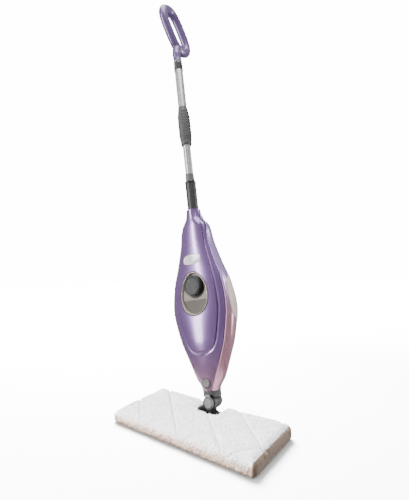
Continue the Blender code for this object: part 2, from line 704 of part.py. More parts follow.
def make_shells():
    heights = shell_heights()
    for kind in ("front", "rear"):
        bm = bmesh.new()
        loft(bm, [shell_ring(z, kind) for z in heights])
        shell = add(f"{kind}_shell", bm, roll_frame, LAVENDER, sharp=28)
        if kind == "front":
            oval = add("oval_cutter", egg_prism(0.0, -0.1, 0.0), roll_frame)
            hole = rod(BUTTON_RADIUS + RUN + BUTTON_RIM + GAP, 0.0, 0.05, 24)
            cut(shell, oval, add("button_hole_cutter", hole, button_frame))
        else:
            for name, side in (("left", -1), ("right", 1)):
                cut(shell, add(f"window_cutter_{name}", lens(side, GAP, 0.004, WALL + 0.003), roll_frame))
            seat = body_section(GLAND_HEIGHT)[2] + GLAND_SEAT - GAP
            gland = turned([(GLAND_RADIUS + GAP, 0.0), (GLAND_RADIUS + GAP, seat),
                            (GLAND_FLANGE + GAP, seat),
                            (GLAND_FLANGE + GAP, 0.08)], 20)
            cut(shell, add("gland_cutter", shift(turn_to(gland, '+Y'), z=GLAND_HEIGHT), roll_frame))
    for name, side in (("left", -1), ("right", 1)):
        add(f"tank_window_{name}", lens(side, 0.0, 0.0005, WINDOW_THICK - 0.0005), roll_frame, CREAM)

    # oval bezel, whose rim follows the front of the body, and the sunk panel in it
    bm = bmesh.new()
    rings = []
    sides = 40
    back = PANEL_FACE - PANEL - 0.0015
    for i in range(sides):
        outer_x, outer_z = egg(360 * i / sides, GAP)
        inner_x, inner_z = egg(360 * i / sides, OVAL_RIM)
        rim = front_face(outer_x, outer_z) + TONGUE_RAISE + 0.0006
        rings.append([(outer_x, -back, outer_z), (outer_x, 0.0008 - rim, outer_z),
                      ((2 * outer_x + inner_x) / 3, -rim, (2 * outer_z + inner_z) / 3),
                      (inner_x, 0.0012 - rim, inner_z), (inner_x, -back, inner_z)])
    loft(bm, rings, closed=True)
    add("oval_bezel", bm, roll_frame, BEIGE_GREY)
    panel = add("oval_panel", egg_prism(OVAL_RIM + GAP, -PANEL_FACE, PANEL - PANEL_FACE), roll_frame,
                BEIGE_GREY)
    mouth = rod(FILLER_RADIUS + FILLER_WALL + 0.0022, 0.0, 0.06, TURN)
    cut(panel, add("cap_hole_cutter", mouth, cap_frame))


# ---- filler cap and neck, in the cap's frame, whose +Z points forwards ----
def make_filler():
    face = PANEL_FACE
    cap_back = face + GAP
    flange = FILLER_RADIUS + FILLER_WALL
    add("filler_knob", turned([(CAP_RADIUS - 0.0008, cap_back), (CAP_RADIUS, cap_back + 0.001),
                               (CAP_RADIUS, cap_back + CAP_THICK - 0.002),
                               (CAP_RADIUS - 0.0007, cap_back + CAP_THICK - 0.0006),
                               (CAP_RADIUS - 0.0022, cap_back + CAP_THICK),
                               (CAP_RADIUS - 0.0034, cap_back + CAP_THICK - 0.0005)], 40), cap_frame,
                               MID_GREY)
    stem = FILLER_RADIUS - 0.0020
    plug = turned([(stem - 0.001, face - 0.021), (stem, face - 0.020), (stem, face - PANEL),
                   (flange + 0.0008, face - PANEL), (flange + 0.0008, face)])
    add("filler_plug", plug, cap_frame, DARK_GREY)
    add("filler_seal", tube(FILLER_RADIUS - RUN, stem + GAP, face - 0.018, face - 0.0155), cap_frame,
        RUBBER)
    neck_top = face - PANEL - GAP
    neck = turned([(FILLER_RADIUS, neck_top), (flange + 0.0035, neck_top),
                   (flange + 0.0035, neck_top - 0.0015),
                   (flange - 0.0008, neck_top - 0.003), (flange - 0.0008, GAP - TANK_FRONT),
                   (FILLER_RADIUS, GAP - TANK_FRONT)], hollow=True)
    add("filler_neck", neck, roll_cap_frame(), LIGHT_GREY)


def roll_cap_frame():
    """Frame of the neck that the cap fits, fixed to the body."""
    return empty("neck_frame", (0, 0, CAP_HEIGHT), (90, 0, 0), roll_frame)


# ---- release button, in its frame, whose +Z points forwards ----
def make_button():
    face = front_face(0, BUTTON_HEIGHT) + 0.0008
    depth = 0.0052
    add("release_button", turned([(BUTTON_RADIUS, face - depth), (BUTTON_RADIUS, face - 0.0010),
                                  (BUTTON_RADIUS - 0.001, face - 0.0002), (BUTTON_RADIUS - 0.003, face)],
                                  24),
        button_frame, BEIGE_GREY)
    inner = BUTTON_RADIUS + RUN
    outer = inner + BUTTON_RIM
    add("button_bezel", turned([(outer, face - 0.0045), (outer, face - 0.0014),
                                (outer - 0.0006, face - 0.0008),
                                (inner, face - 0.0012), (inner, face - 0.0045)], 24, hollow=True),
        button_frame, DARK_GREY)
    add("button_spring", coil(0.0040, 0.0004, 0.0084, face - depth - GAP - 0.0004, 3), button_frame, STEEL)


# ---- inside the body ----
def make_inside():
    # water tank against the rear shell, open to the filler neck
    inset = WALL + TANK_ROOM
    def tank_loft(wall, bottom, top):
        bm = bmesh.new()
        rings = []
        for z in spread(bottom, top, 9):
            points = [body_point(z, a, inset + wall + 0.0015) for a in spread(92, 180, 9)]
            loop = [Vector((p.x, max(p.y, TANK_FRONT + wall), z)) for p in points]
            rings.append(loop + [Vector((-p.x, p.y, z)) for p in loop[-2::-1]])
        loft(bm, rings)
        return bm
    tank = add("water_tank", tank_loft(0.0, TANK_BOTTOM, TANK_TOP), roll_frame, CLEAR_TANK)
    hollow = add("tank_cutter", tank_loft(TANK_WALL, TANK_BOTTOM + TANK_WALL, TANK_TOP - TANK_WALL),
                 roll_frame)
    inlet = add("inlet_cutter", rod(FILLER_RADIUS, -0.006, 0.01, SMALL_TURN), cap_frame)
    cut(tank, hollow, inlet)

    # pump barrel, open at the top for the piston rod
    bore = ROD_RADIUS + RUN
    pump = turned([(PUMP_RADIUS, PUMP_BOTTOM), (PUMP_RADIUS, PUMP_TOP - 0.003),
                   (PUMP_RADIUS - 0.001, PUMP_TOP),
                   (bore, PUMP_TOP), (bore, PUMP_BOTTOM)], 20, hollow=True)
    add("water_pump", pump, roll_frame, MID_GREY)

    # boiler with its thermostat, and the block its wires end in
    centre = (0, BOILER_Y)
    add("boiler", turned([(BOILER_RADIUS - 0.003, BOILER_BOTTOM), (BOILER_RADIUS, BOILER_BOTTOM + 0.003),
                          (BOILER_RADIUS, BOILER_TOP - 0.003), (BOILER_RADIUS - 0.003, BOILER_TOP)], 24,
                          centre),
        roll_frame, STEEL)
    side = BOILER_RADIUS + GAP
    disc = shift(turn_to(rod(0.0075, side, side + 0.005, 20), 'X'), y=BOILER_Y, z=BOILER_TOP - 0.025)
    add("thermostat", disc, roll_frame, BLACK)
    top = TANK_BOTTOM - 0.003
    add("terminal_block", block((-0.015, 0.010, top - 0.013), (0.015, 0.022, top)), roll_frame, LIGHT_GREY)

    # hoses: tank water to the boiler past the filler neck, and steam from the boiler to the neck
    x, y = 0.030, -0.0095
    water = [(PUMP_RADIUS + 0.002, 0.004, PUMP_BOTTOM + 0.008), (0.020, 0.001, PUMP_BOTTOM + 0.006),
             (0.0275, -0.006, PUMP_BOTTOM - 0.006), (x, y, PUMP_BOTTOM - 0.030),
             (x, y, TANK_BOTTOM + 0.010),
             (0.026, y, TANK_BOTTOM - 0.008), (0.014, -0.006, TANK_BOTTOM - 0.015),
             (0.004, 0.001, BOILER_TOP + 0.007), (0, BOILER_Y, BOILER_TOP + 0.0035)]
    add("water_hose", swept(water, HOSE_RADIUS, HOSE_RADIUS, 10), roll_frame, RUBBER)
    steam = [(0, BOILER_Y, BOILER_BOTTOM - 2 * GAP), (0, BOILER_Y - 0.001, BOILER_BOTTOM - 0.006),
             (0, 0.002, SPIGOT_TOP + 0.006), (0, 0, SPIGOT_TOP + 0.002), (0, 0, BODY_BOTTOM + 0.006)]
    add("steam_hose", swept(steam, HOSE_RADIUS, HOSE_RADIUS, 12), roll_frame, RUBBER)

    # guide bush for the pole, and the cord's gland in the back
    guide_bottom = BODY_TOP - 0.050
    add("pole_guide", tube(GUIDE_RADIUS + GUIDE_WALL, GUIDE_RADIUS, guide_bottom, BODY_TOP - 0.0015),
        roll_frame, DARK_GREY)
    _, _, rear, _ = body_section(GLAND_HEIGHT)
    gland = turned([(GLAND_RADIUS, rear - 0.008), (GLAND_RADIUS, rear + GLAND_SEAT),
                    (GLAND_FLANGE, rear + GLAND_SEAT),
                    (GLAND_FLANGE, rear + 0.003), (0.0048, rear + 0.0075), (0.0036, rear + 0.0075),
                    (0.0036, rear - 0.008)], 20, hollow=True)
    add("cord_gland", shift(turn_to(gland, '+Y'), z=GLAND_HEIGHT), roll_frame, RUBBER)


# ---- pole ----
def make_pole():
    # pump tube with the piston below it
    add("pump_tube", tube(DARK_RADIUS, DARK_RADIUS - DARK_WALL, DARK_BOTTOM, DARK_TOP), roll_frame,
        DARK_GREY)
    foot = DARK_BOTTOM - GAP
    rod_end = PUMP_BOTTOM + PUMP_STROKE + 0.003
    add("pump_piston", turned([(ROD_RADIUS, rod_end), (ROD_RADIUS, foot - 0.004),
                               (DARK_RADIUS - 0.0004, foot - 0.004),
                               (DARK_RADIUS - 0.0004, foot)]), roll_frame, MID_GREY)
    add("pump_spring", coil(SPRING_RADIUS, SPRING_WIRE, PUMP_TOP + 0.0012, foot - 0.0052, 6), roll_frame,
        STEEL)

    # flange, small collar and lower bright tube
    base = DARK_TOP + GAP
    add("pole_flange", turned([(LOWER_RADIUS + GAP, base), (FLANGE_RADIUS - 0.0006, base),
                               (FLANGE_RADIUS, base + 0.001),
                               (FLANGE_RADIUS, base + FLANGE_HEIGHT - 0.0015),
                               (FLANGE_RADIUS - 0.0012, base + FLANGE_HEIGHT),
                               (LOWER_RADIUS + GAP, base + FLANGE_HEIGHT)], hollow=True), roll_frame, BLACK)
    base += FLANGE_HEIGHT + GAP
    add("small_collar", turned([(LOWER_RADIUS + GAP, base), (SMALL_COLLAR_RADIUS, base),
                                (SMALL_COLLAR_RADIUS - 0.0006, base + SMALL_COLLAR_HEIGHT),
                                (LOWER_RADIUS + GAP, base + SMALL_COLLAR_HEIGHT)], hollow=True), roll_frame,
                                MID_GREY)
    add("lower_tube", tube(LOWER_RADIUS, LOWER_RADIUS - TUBE_WALL, LOWER_FOOT, LOWER_TOP), roll_frame,
        SILVER)

    # upper bright tube with a slot for the latch
    upper = add("upper_tube", tube(UPPER_RADIUS, UPPER_RADIUS - TUBE_WALL, UPPER_FOOT,
                                   TOP_COLLAR_BOTTOM + TOP_COLLAR_HEIGHT - 0.002), roll_frame, SILVER)
    room = LATCH_HALF_WIDTH + GAP
    tall = LATCH_HALF_HEIGHT + GAP
    slot = add("latch_slot_cutter", block((-room, -tall, 0.004), (room, tall, 0.03)), latch_frame)
    cut(upper, slot)

    # grip sleeve: ribbed front, black rear strip
    seam = 180 - STRIP_HALF_ANGLE
    shape = [(0.0, SLEEVE_END_RADIUS - 0.0015), (0.03, SLEEVE_END_RADIUS - 0.0002),
             (0.12, SLEEVE_END_RADIUS + 0.0006),
             (0.28, SLEEVE_RADIUS), (0.72, SLEEVE_RADIUS), (0.90, SLEEVE_END_RADIUS),
             (1.0, SLEEVE_END_RADIUS - 0.0012)]
    inner = UPPER_RADIUS + GAP
    slack = math.degrees(GAP / 2 / SLEEVE_RADIUS)
    for name, low, high, look in (("grip_sleeve", -seam + slack, seam - slack, MID_GREY),
                                  ("grip_strip", seam + slack, 360 - seam - slack, BLACK)):
        count = 23 if name == "grip_sleeve" else 9
        rings = []
        for t in spread(0, 1, 17):
            radius = smooth_value(shape, t)
            z = SLEEVE_BOTTOM + SLEEVE_LENGTH * t
            angles = [math.radians(a) for a in spread(low, high, count)]
            loop = [(radius * math.sin(a), -radius * math.cos(a), z) for a in angles]
            loop += [(inner * math.sin(a), -inner * math.cos(a), z) for a in reversed(angles)]
            rings.append(loop)
        bm = bmesh.new()
        loft(bm, rings)
        piece = add(name, bm, roll_frame, look)
        if name == "grip_strip":
            cut(piece, slot)
    add("sleeve_bush", tube(UPPER_RADIUS - GAP / 2, LOWER_RADIUS + GAP, SLEEVE_BOTTOM + 0.0005,
                            UPPER_FOOT - GAP),
        roll_frame, DARK_GREY)

    # latch button, in its frame, whose +Z points out of the back
    strip_face = smooth_value(shape, (LATCH_HEIGHT - SLEEVE_BOTTOM) / SLEEVE_LENGTH)
    low = strip_face - 0.0028
    bm = prism(rounded(LATCH_HALF_WIDTH, -LATCH_HALF_HEIGHT, LATCH_HALF_HEIGHT, 0.002, 4), low,
               strip_face + 0.0016)
    add("latch_button", bm, latch_frame, DARK_GREY)
    add("latch_spring", coil(0.0028, 0.0003, 0.004, low - GAP - 0.0003, 4), latch_frame, STEEL)

    # collar under the handle
    bottom, top = TOP_COLLAR_BOTTOM, TOP_COLLAR_BOTTOM + TOP_COLLAR_HEIGHT
    add("top_collar", turned([(inner, bottom), (TOP_COLLAR_RADIUS, bottom),
                              (TOP_COLLAR_RADIUS - 0.0012, top),
                              (inner, top)], hollow=True), roll_frame, DARK_GREY)


# ---- loop handle in two halves ----
def loop_point(angle, out=0.0):
    """Point of the loop's centre line, or out from it in the loop's plane."""
    a = math.radians(angle)
    along = (LOOP_HALF_LENGTH + out) * power(math.cos(a), 2 / LOOP_SQUARE)
    wide = (LOOP_HALF_WIDTH + out) * power(math.sin(a), 2 / LOOP_SQUARE)
    t = math.radians(LOOP_TILT)
    return Vector((0, LOOP_Y - math.sin(t) * along + math.cos(t) * wide,
                   LOOP_HEIGHT + math.cos(t) * along + math.sin(t) * wide))


def even_loop(count):
    """Points spread evenly along the loop's centre line."""
    fine = [loop_point(360 * i / 720) for i in range(720)]
    lengths = [0.0]
    for i in range(720):
        lengths.append(lengths[-1] + (fine[(i + 1) % 720] - fine[i]).length)
    points, k = [], 0
    for i in range(count):
        want = lengths[-1] * i / count
        while lengths[k + 1] < want:
            k += 1
        points.append(fine[k])
    return points


def make_handle():
    top = TOP_COLLAR_BOTTOM + TOP_COLLAR_HEIGHT
    join_at = loop_point(228)
    stem_path = [Vector((0, 0, top + GAP)), Vector((0, -0.0005, top + 0.012))]
    stem_path += [Vector((0, -0.003, top + 0.024)),
                  Vector((0, (join_at.y - 0.004) / 2, (top + 0.028 + join_at.z) / 2)),
                  join_at]
    for name, side in (("left", -1), ("right", 1)):
        half = add(f"handle_{name}", swept(even_loop(36), LOOP_LIMB_X, LOOP_LIMB, 16, closed=True),
                   roll_frame, PURPLE)
        stem = add(f"stem_guide_{name}", swept(stem_path, STEM_RADIUS, STEM_RADIUS, 20), roll_frame)
        peg = add(f"peg_guide_{name}", rod(UPPER_RADIUS - TUBE_WALL - GAP, top - 0.030, top + 0.010, 20),
                  roll_frame)
        union(half, stem, peg)
        low, high = sorted((side * GAP / 2, -side * 0.1))
        away = add(f"half_cutter_{name}", block((low, -0.3, 0.8), (high, 0.3, 1.3)), roll_frame)
        cut(half, away)


make_head()
make_knuckle()
make_neck()
make_shells()
make_filler()
make_button()
make_inside()
make_pole()
make_handle()
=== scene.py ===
import bisect
import json
import math
import random

import bmesh
import bpy
from mathutils import Matrix, Vector, noise

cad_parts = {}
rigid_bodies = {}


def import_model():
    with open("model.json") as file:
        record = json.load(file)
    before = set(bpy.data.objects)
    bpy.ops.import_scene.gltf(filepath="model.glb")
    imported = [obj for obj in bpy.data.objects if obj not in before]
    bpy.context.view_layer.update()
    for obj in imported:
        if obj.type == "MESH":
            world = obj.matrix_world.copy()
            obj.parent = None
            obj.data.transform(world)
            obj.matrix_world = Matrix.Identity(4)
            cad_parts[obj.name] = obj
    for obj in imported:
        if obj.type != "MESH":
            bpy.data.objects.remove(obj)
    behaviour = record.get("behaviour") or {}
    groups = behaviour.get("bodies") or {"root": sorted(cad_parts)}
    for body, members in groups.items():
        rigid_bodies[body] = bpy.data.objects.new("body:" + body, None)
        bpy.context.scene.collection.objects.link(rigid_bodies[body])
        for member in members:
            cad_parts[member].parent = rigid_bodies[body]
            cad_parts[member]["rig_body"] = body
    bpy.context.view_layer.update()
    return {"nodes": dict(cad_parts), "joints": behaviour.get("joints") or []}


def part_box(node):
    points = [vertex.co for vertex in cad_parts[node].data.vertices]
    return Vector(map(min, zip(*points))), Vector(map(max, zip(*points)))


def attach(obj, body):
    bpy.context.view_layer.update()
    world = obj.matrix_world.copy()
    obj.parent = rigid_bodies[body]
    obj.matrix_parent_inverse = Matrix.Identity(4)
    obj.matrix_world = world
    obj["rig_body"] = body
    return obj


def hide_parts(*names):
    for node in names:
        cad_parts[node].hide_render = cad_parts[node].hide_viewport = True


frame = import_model()
nodes = frame["nodes"]
joints = {joint["name"]: joint for joint in frame["joints"]}
print("frame loaded:", len(nodes), "nodes")

# the pole's own axes, from the joints: right, back and up the pole, starting at the swivel's centre
poleUp = Vector(joints["pump_stroke"]["axis"]).normalized()
poleBack = Vector(joints["release_press"]["axis"]).normalized()
pole = Matrix((poleBack.cross(poleUp), poleBack, poleUp)).transposed().to_4x4()
pole.translation = Vector(joints["body_roll"]["pos_m"])
toPole = pole.inverted()


def span(node):
    # lowest and highest corner of a CAD node along the pole's axes
    points = [toPole @ v.co for v in nodes[node].data.vertices]
    return (Vector([min(p[i] for p in points) for i in range(3)]),
            Vector([max(p[i] for p in points) for i in range(3)]))


def facing(height):
    # axes at a height on the pole whose z points out of the front
    return pole @ Matrix.Translation((0, 0, height)) @ Matrix.Rotation(math.radians(90), 4, 'X')


def startFinish(name, settings):
    finish = bpy.data.materials.new(name)
    finish.use_nodes = True
    tree = finish.node_tree
    shader = tree.nodes["Principled BSDF"]
    shader.inputs["Base Color"].default_value = (*settings["colour"], 1)
    shader.inputs["Roughness"].default_value = settings["rough"]
    shader.inputs["Metallic"].default_value = settings.get("metal", 0)
    shader.inputs["Coat Weight"].default_value = settings.get("coat", 0)
    shader.inputs["Coat Roughness"].default_value = settings.get("coatRough", 0.1)
    shader.inputs["Specular IOR Level"].default_value = settings.get("shine", 0.5)
    return finish, tree, shader


def along(tree, stretch=(1, 1, 1), turned=True):
    # object coordinates, turned to the pole's axes
    place = tree.nodes.new("ShaderNodeTexCoord")
    mapping = tree.nodes.new("ShaderNodeMapping")
    tree.links.new(place.outputs["Object"], mapping.inputs["Vector"])
    if turned:
        mapping.inputs["Rotation"].default_value = toPole.to_euler()
        mapping.inputs["Location"].default_value = toPole.translation
    if stretch == (1, 1, 1):
        return mapping.outputs["Vector"]
    wide = tree.nodes.new("ShaderNodeVectorMath")
    wide.operation = 'MULTIPLY'
    wide.inputs[1].default_value = stretch
    tree.links.new(mapping.outputs["Vector"], wide.inputs[0])
    return wide.outputs["Vector"]


def axesOf(tree, place):
    apart = tree.nodes.new("ShaderNodeSeparateXYZ")
    tree.links.new(place, apart.inputs["Vector"])
    return apart.outputs["X"], apart.outputs["Y"], apart.outputs["Z"]


def calc(tree, operation, *values):
    # a math node; each value is a number or another node's output
    node = tree.nodes.new("ShaderNodeMath")
    node.operation = operation
    for socket, value in zip(node.inputs, values):
        if isinstance(value, (int, float)):
            socket.default_value = value
        else:
            tree.links.new(value, socket)
    return node.outputs[0]


def noiseOf(tree, place, scale, detail=3.0):
    texture = tree.nodes.new("ShaderNodeTexNoise")
    texture.inputs["Scale"].default_value = scale
    texture.inputs["Detail"].default_value = detail
    tree.links.new(place, texture.inputs["Vector"])
    return texture.outputs["Fac"]


def ramp(tree, value, stops, ease='LINEAR'):
    node = tree.nodes.new("ShaderNodeValToRGB")
    node.color_ramp.interpolation = ease
    while len(node.color_ramp.elements) < len(stops):
        node.color_ramp.elements.new(1.0)
    for element, (at, colour) in zip(node.color_ramp.elements, stops):
        element.position = at
        element.color = (*colour, 1)
    tree.links.new(value, node.inputs["Fac"])
    return node.outputs["Color"]


def spreadOver(tree, value, low, high, toLow=0.0, toHigh=1.0):
    node = tree.nodes.new("ShaderNodeMapRange")
    for name, number in (("From Min", low), ("From Max", high), ("To Min", toLow), ("To Max", toHigh)):
        node.inputs[name].default_value = number
    tree.links.new(value, node.inputs["Value"])
    return node.outputs["Result"]


def mixColours(tree, share, first, second):
    node = tree.nodes.new("ShaderNodeMix")
    node.data_type = 'RGBA'
    tree.links.new(share, node.inputs["Factor"])
    for socket, value in (("A", first), ("B", second)):
        target = [s for s in node.inputs if s.name == socket and s.type == 'RGBA'][0]
        if isinstance(value, tuple):
            target.default_value = (*value, 1)
        else:
            tree.links.new(value, target)
    return [s for s in node.outputs if s.type == 'RGBA'][0]


def bumpFrom(tree, shader, height, depth, strength=1.0):
    node = tree.nodes.new("ShaderNodeBump")
    node.inputs["Strength"].default_value = strength
    node.inputs["Distance"].default_value = depth
    tree.links.new(height, node.inputs["Height"])
    tree.links.new(node.outputs["Normal"], shader.inputs["Normal"])


def mouldedFinish(name, settings):
    # moulded plastic or cast metal: clouding of the colour, worn patches of gloss and a fine grain
    finish, tree, shader = startFinish(name, settings)
    place = along(tree, settings.get("stretch", (1, 1, 1)))
    cloud = noiseOf(tree, place, settings.get("cloudScale", 45))
    colour = settings["colour"]
    deep = settings.get("deep", tuple(c * 0.82 for c in colour))
    tree.links.new(ramp(tree, cloud, [(0.3, deep), (0.7, colour)]), shader.inputs["Base Color"])
    rough = settings["rough"]
    wear = noiseOf(tree, place, settings.get("wearScale", 110), 5)
    tree.links.new(spreadOver(tree, wear, 0.3, 0.7, rough * 0.85, rough * 1.15), shader.inputs["Roughness"])
    grain = noiseOf(tree, place, settings.get("grainScale", 1400), 2)
    bumpFrom(tree, shader, grain, settings.get("grain", 0.00004), 0.6)
    return finish


finishSettings = {
    "darkGreyPlastic": {"colour": (0.052, 0.052, 0.052), "rough": 0.42, "shine": 0.35},
    "tubeGrey": {"colour": (0.038, 0.038, 0.039), "rough": 0.42, "shine": 0.35},
    "blackPlastic": {"colour": (0.010, 0.010, 0.011), "rough": 0.36},
    # dark brown of the gap round the bezel, with painted shadow in it
    "gapShadowBrown": {"colour": (0.035, 0.022, 0.018), "rough": 0.5},
    "midGreyPlastic": {"colour": (0.105, 0.110, 0.108), "rough": 0.46},
    "sleeveGrey": {"colour": (0.085, 0.085, 0.084), "rough": 0.5, "grain": 0.00006, "shine": 0.35},
    "lightGreyPlastic": {"colour": (0.185, 0.188, 0.186), "rough": 0.36},
    "knobGrey": {"colour": (0.035, 0.038, 0.036), "deep": (0.028, 0.031, 0.029), "rough": 0.48,
                 "shine": 0.3},
    "buttonGrey": {"colour": (0.135, 0.128, 0.108), "rough": 0.40},
    "bezelBeige": {"colour": (0.50, 0.43, 0.38), "rough": 0.18, "coat": 0.7},
    "rubberBlack": {"colour": (0.02, 0.02, 0.02), "rough": 0.75, "grain": 0.00008},
    "milkyTank": {"colour": (0.5, 0.5, 0.48), "rough": 0.3},
    "castMetal": {"colour": (0.45, 0.45, 0.46), "rough": 0.45, "metal": 1.0, "grain": 0.0001},
    "brightSteel": {"colour": (0.56, 0.56, 0.57), "rough": 0.25, "metal": 1.0, "stretch": (1, 1, 0.2)},
    "turnedBrass": {"colour": (0.60, 0.43, 0.17), "rough": 0.3, "metal": 1.0, "stretch": (0.2, 1, 1)},
    "badgePearl": {"colour": (0.74, 0.73, 0.77), "rough": 0.22, "coat": 0.6},
}
finishes = {name: mouldedFinish(name, settings) for name, settings in finishSettings.items()}


def pearlFinish(name, low, middle, high, rough, middleAt, highAt):
    # pearl paint under lacquer: the tint drifts from mauve at the foot to lavender above, with fine flakes
    settings = {"colour": middle, "rough": rough, "metal": 0.55, "coat": 0.65, "coatRough": 0.12}
    finish, tree, shader = startFinish(name, settings)
    place = along(tree)
    foot, top = span("front_shell")[0].z, span("front_shell")[1].z
    height = spreadOver(tree, axesOf(tree, place)[2], foot, top)
    tint = ramp(tree, height, [(0.0, low), (middleAt, middle), (highAt, high)], 'EASE')
    flakes = noiseOf(tree, place, 2600, 1)
    cloud = noiseOf(tree, place, 14, 2)
    deeper = tuple(c * 0.7 for c in middle)
    tree.links.new(mixColours(tree, spreadOver(tree, cloud, 0.35, 0.7, 0, 0.16), tint, deeper),
                   shader.inputs["Base Color"])
    tree.links.new(spreadOver(tree, flakes, 0.3, 0.7, rough * 0.88, rough * 1.12),
                   shader.inputs["Roughness"])
    bumpFrom(tree, shader, flakes, 0.00001, 0.4)
    return finish


def drawnTubeFinish(name, colour):
    # bright drawn tube with faint lines along its length
    finish, tree, shader = startFinish(name, {"colour": colour, "rough": 0.33, "metal": 0.7})
    lines = noiseOf(tree, along(tree, (1, 1, 0.012)), 900, 3)
    smudge = noiseOf(tree, along(tree), 30, 4)
    tree.links.new(spreadOver(tree, smudge, 0.3, 0.7, 0.28, 0.38), shader.inputs["Roughness"])
    tree.links.new(ramp(tree, lines, [(0.35, tuple(c * 0.93 for c in colour)), (0.65, colour)]),
                   shader.inputs["Base Color"])
    bumpFrom(tree, shader, lines, 0.000004, 0.3)
    return finish


# plain grey of the painted highlight at the top of the loop and of the pale ring at its foot
topHighlightAndFootRing = {"down": 0.020, "back": -0.037, "edge": 0.0005, "ring": 0.0018, "colour": (0.40, 0.40, 0.41)}


def handleFinish(name):
    # moulded purple with the parting line of its two halves, a painted highlight in plain grey at the top
    # and a pale ring at the foot
    purple = (0.150, 0.095, 0.245)
    finish, tree, shader = startFinish(name, {"colour": purple, "rough": 0.34, "metal": 0.25, "coat": 0.55,
                                              "coatRough": 0.24})
    place = along(tree)
    cloud = noiseOf(tree, place, 22, 3)
    tint = ramp(tree, cloud, [(0.3, (0.130, 0.075, 0.190)), (0.7, purple)])
    x, y, z = axesOf(tree, place)
    parting = mixColours(tree, spreadOver(tree, calc(tree, 'ABSOLUTE', x), 0.0001, 0.0004),
                         (0.035, 0.02, 0.05), tint)
    # painted highlight: plain grey over the front of the loop's top
    top = span("handle_left")[1].z - topHighlightAndFootRing["down"]
    high = spreadOver(tree, z, top, top + topHighlightAndFootRing["edge"])
    ahead = spreadOver(tree, y, topHighlightAndFootRing["back"], topHighlightAndFootRing["back"] + topHighlightAndFootRing["edge"], 1.0, 0.0)
    foot = span("top_collar")[1].z + topHighlightAndFootRing["ring"]
    ring = spreadOver(tree, z, foot, foot + 0.0004, 1.0, 0.0)
    highlightAndRingShare = calc(tree, 'MAXIMUM', calc(tree, 'MULTIPLY', high, ahead), ring)
    tree.links.new(mixColours(tree, highlightAndRingShare, parting, topHighlightAndFootRing["colour"]), shader.inputs["Base Color"])
    bumpFrom(tree, shader, noiseOf(tree, place, 1400, 2), 0.000008, 0.4)
    return finish


def frostedFinish(name):
    # frosted water window: light comes through a little
    settings = {"colour": (0.60, 0.47, 0.43), "rough": 0.42, "coat": 0.15}
    finish, tree, shader = startFinish(name, settings)
    shader.inputs["Subsurface Weight"].default_value = 0.25
    shader.inputs["Subsurface Radius"].default_value = (0.004, 0.003, 0.002)
    place = along(tree)
    cloud = noiseOf(tree, place, 35, 4)
    tree.links.new(ramp(tree, cloud, [(0.3, (0.54, 0.42, 0.38)), (0.7, (0.66, 0.53, 0.48))]),
                   shader.inputs["Base Color"])
    bumpFrom(tree, shader, noiseOf(tree, place, 900, 3), 0.00008, 0.7)
    return finish


pearls = {
    "frontPearl": {"low": (0.26, 0.135, 0.225), "middle": (0.185, 0.104, 0.275),
                   "high": (0.220, 0.122, 0.325), "rough": 0.25, "middleAt": 0.28, "highAt": 1.0},
    "rearPearl": {"low": (0.40, 0.185, 0.255), "middle": (0.53, 0.265, 0.34),
                  "high": (0.36, 0.245, 0.54), "rough": 0.28, "middleAt": 0.30, "highAt": 0.60},
}
for name, settings in pearls.items():
    finishes[name] = pearlFinish(name, **settings)
finishes["drawnTube"] = drawnTubeFinish("drawnTube", (0.50, 0.485, 0.505))
finishes["handlePurple"] = handleFinish("handlePurple")
finishes["frostedWindow"] = frostedFinish("frostedWindow")


def panelFinish(name, settings):
    # beige panel with painted light: lighter above the crease across it and darker below it as painted
    # reflection and shade, and a painted shadow round the knob by the filler
    finish, tree, shader = startFinish(name, {"colour": settings["upper"], "rough": 0.5, "shine": 0.3})
    place = along(tree)
    across, _, height = axesOf(tree, place)
    # painted reflection and shade: the slanted crease splits the lighter upper tone from the darker lower
    # one
    slanted = calc(tree, 'MULTIPLY_ADD', across, -settings["slope"], height)
    above = spreadOver(tree, slanted, settings["crease"] - 0.0006, settings["crease"] + 0.0006)
    cloud = noiseOf(tree, place, 60, 4)
    upper, lower = [ramp(tree, cloud, [(0.3, tuple(c * 0.86 for c in colour)), (0.7, colour)])
                    for colour in (settings["upper"], settings["lower"])]
    # painted shadow of the knob: dark within a set reach of a point a little below the knob's centre
    apartFrom = tree.nodes.new("ShaderNodeVectorMath")
    apartFrom.operation = 'DISTANCE'
    tree.links.new(place, apartFrom.inputs[0])
    apartFrom.inputs[1].default_value = settings["scaleAt"]
    reach = settings["scaleReach"]
    outsideKnobShadow = spreadOver(tree, apartFrom.outputs["Value"], reach - 0.004, reach)
    both = mixColours(tree, above, lower, upper)
    tree.links.new(mixColours(tree, outsideKnobShadow, settings["scaled"], both), shader.inputs["Base Color"])
    bumpFrom(tree, shader, noiseOf(tree, place, 1400, 2), 0.00004, 0.5)
    return finish


# upper and lower are the painted lit and shaded tones; scaled is the colour of the painted knob shadow
finishes["sunkPanel"] = panelFinish("sunkPanel", {
    "upper": (0.30, 0.26, 0.225), "lower": (0.125, 0.105, 0.090), "scaled": (0.030, 0.022, 0.018),
    "crease": 0.2145, "slope": -0.04, "scaleAt": (0.0030, -0.0265, 0.2415), "scaleReach": 0.0262})


def newObject(name, bm):
    mesh = bpy.data.meshes.new(name)
    bm.to_mesh(mesh)
    bm.free()
    made = bpy.data.objects.new(name, mesh)
    bpy.context.scene.collection.objects.link(made)
    return made


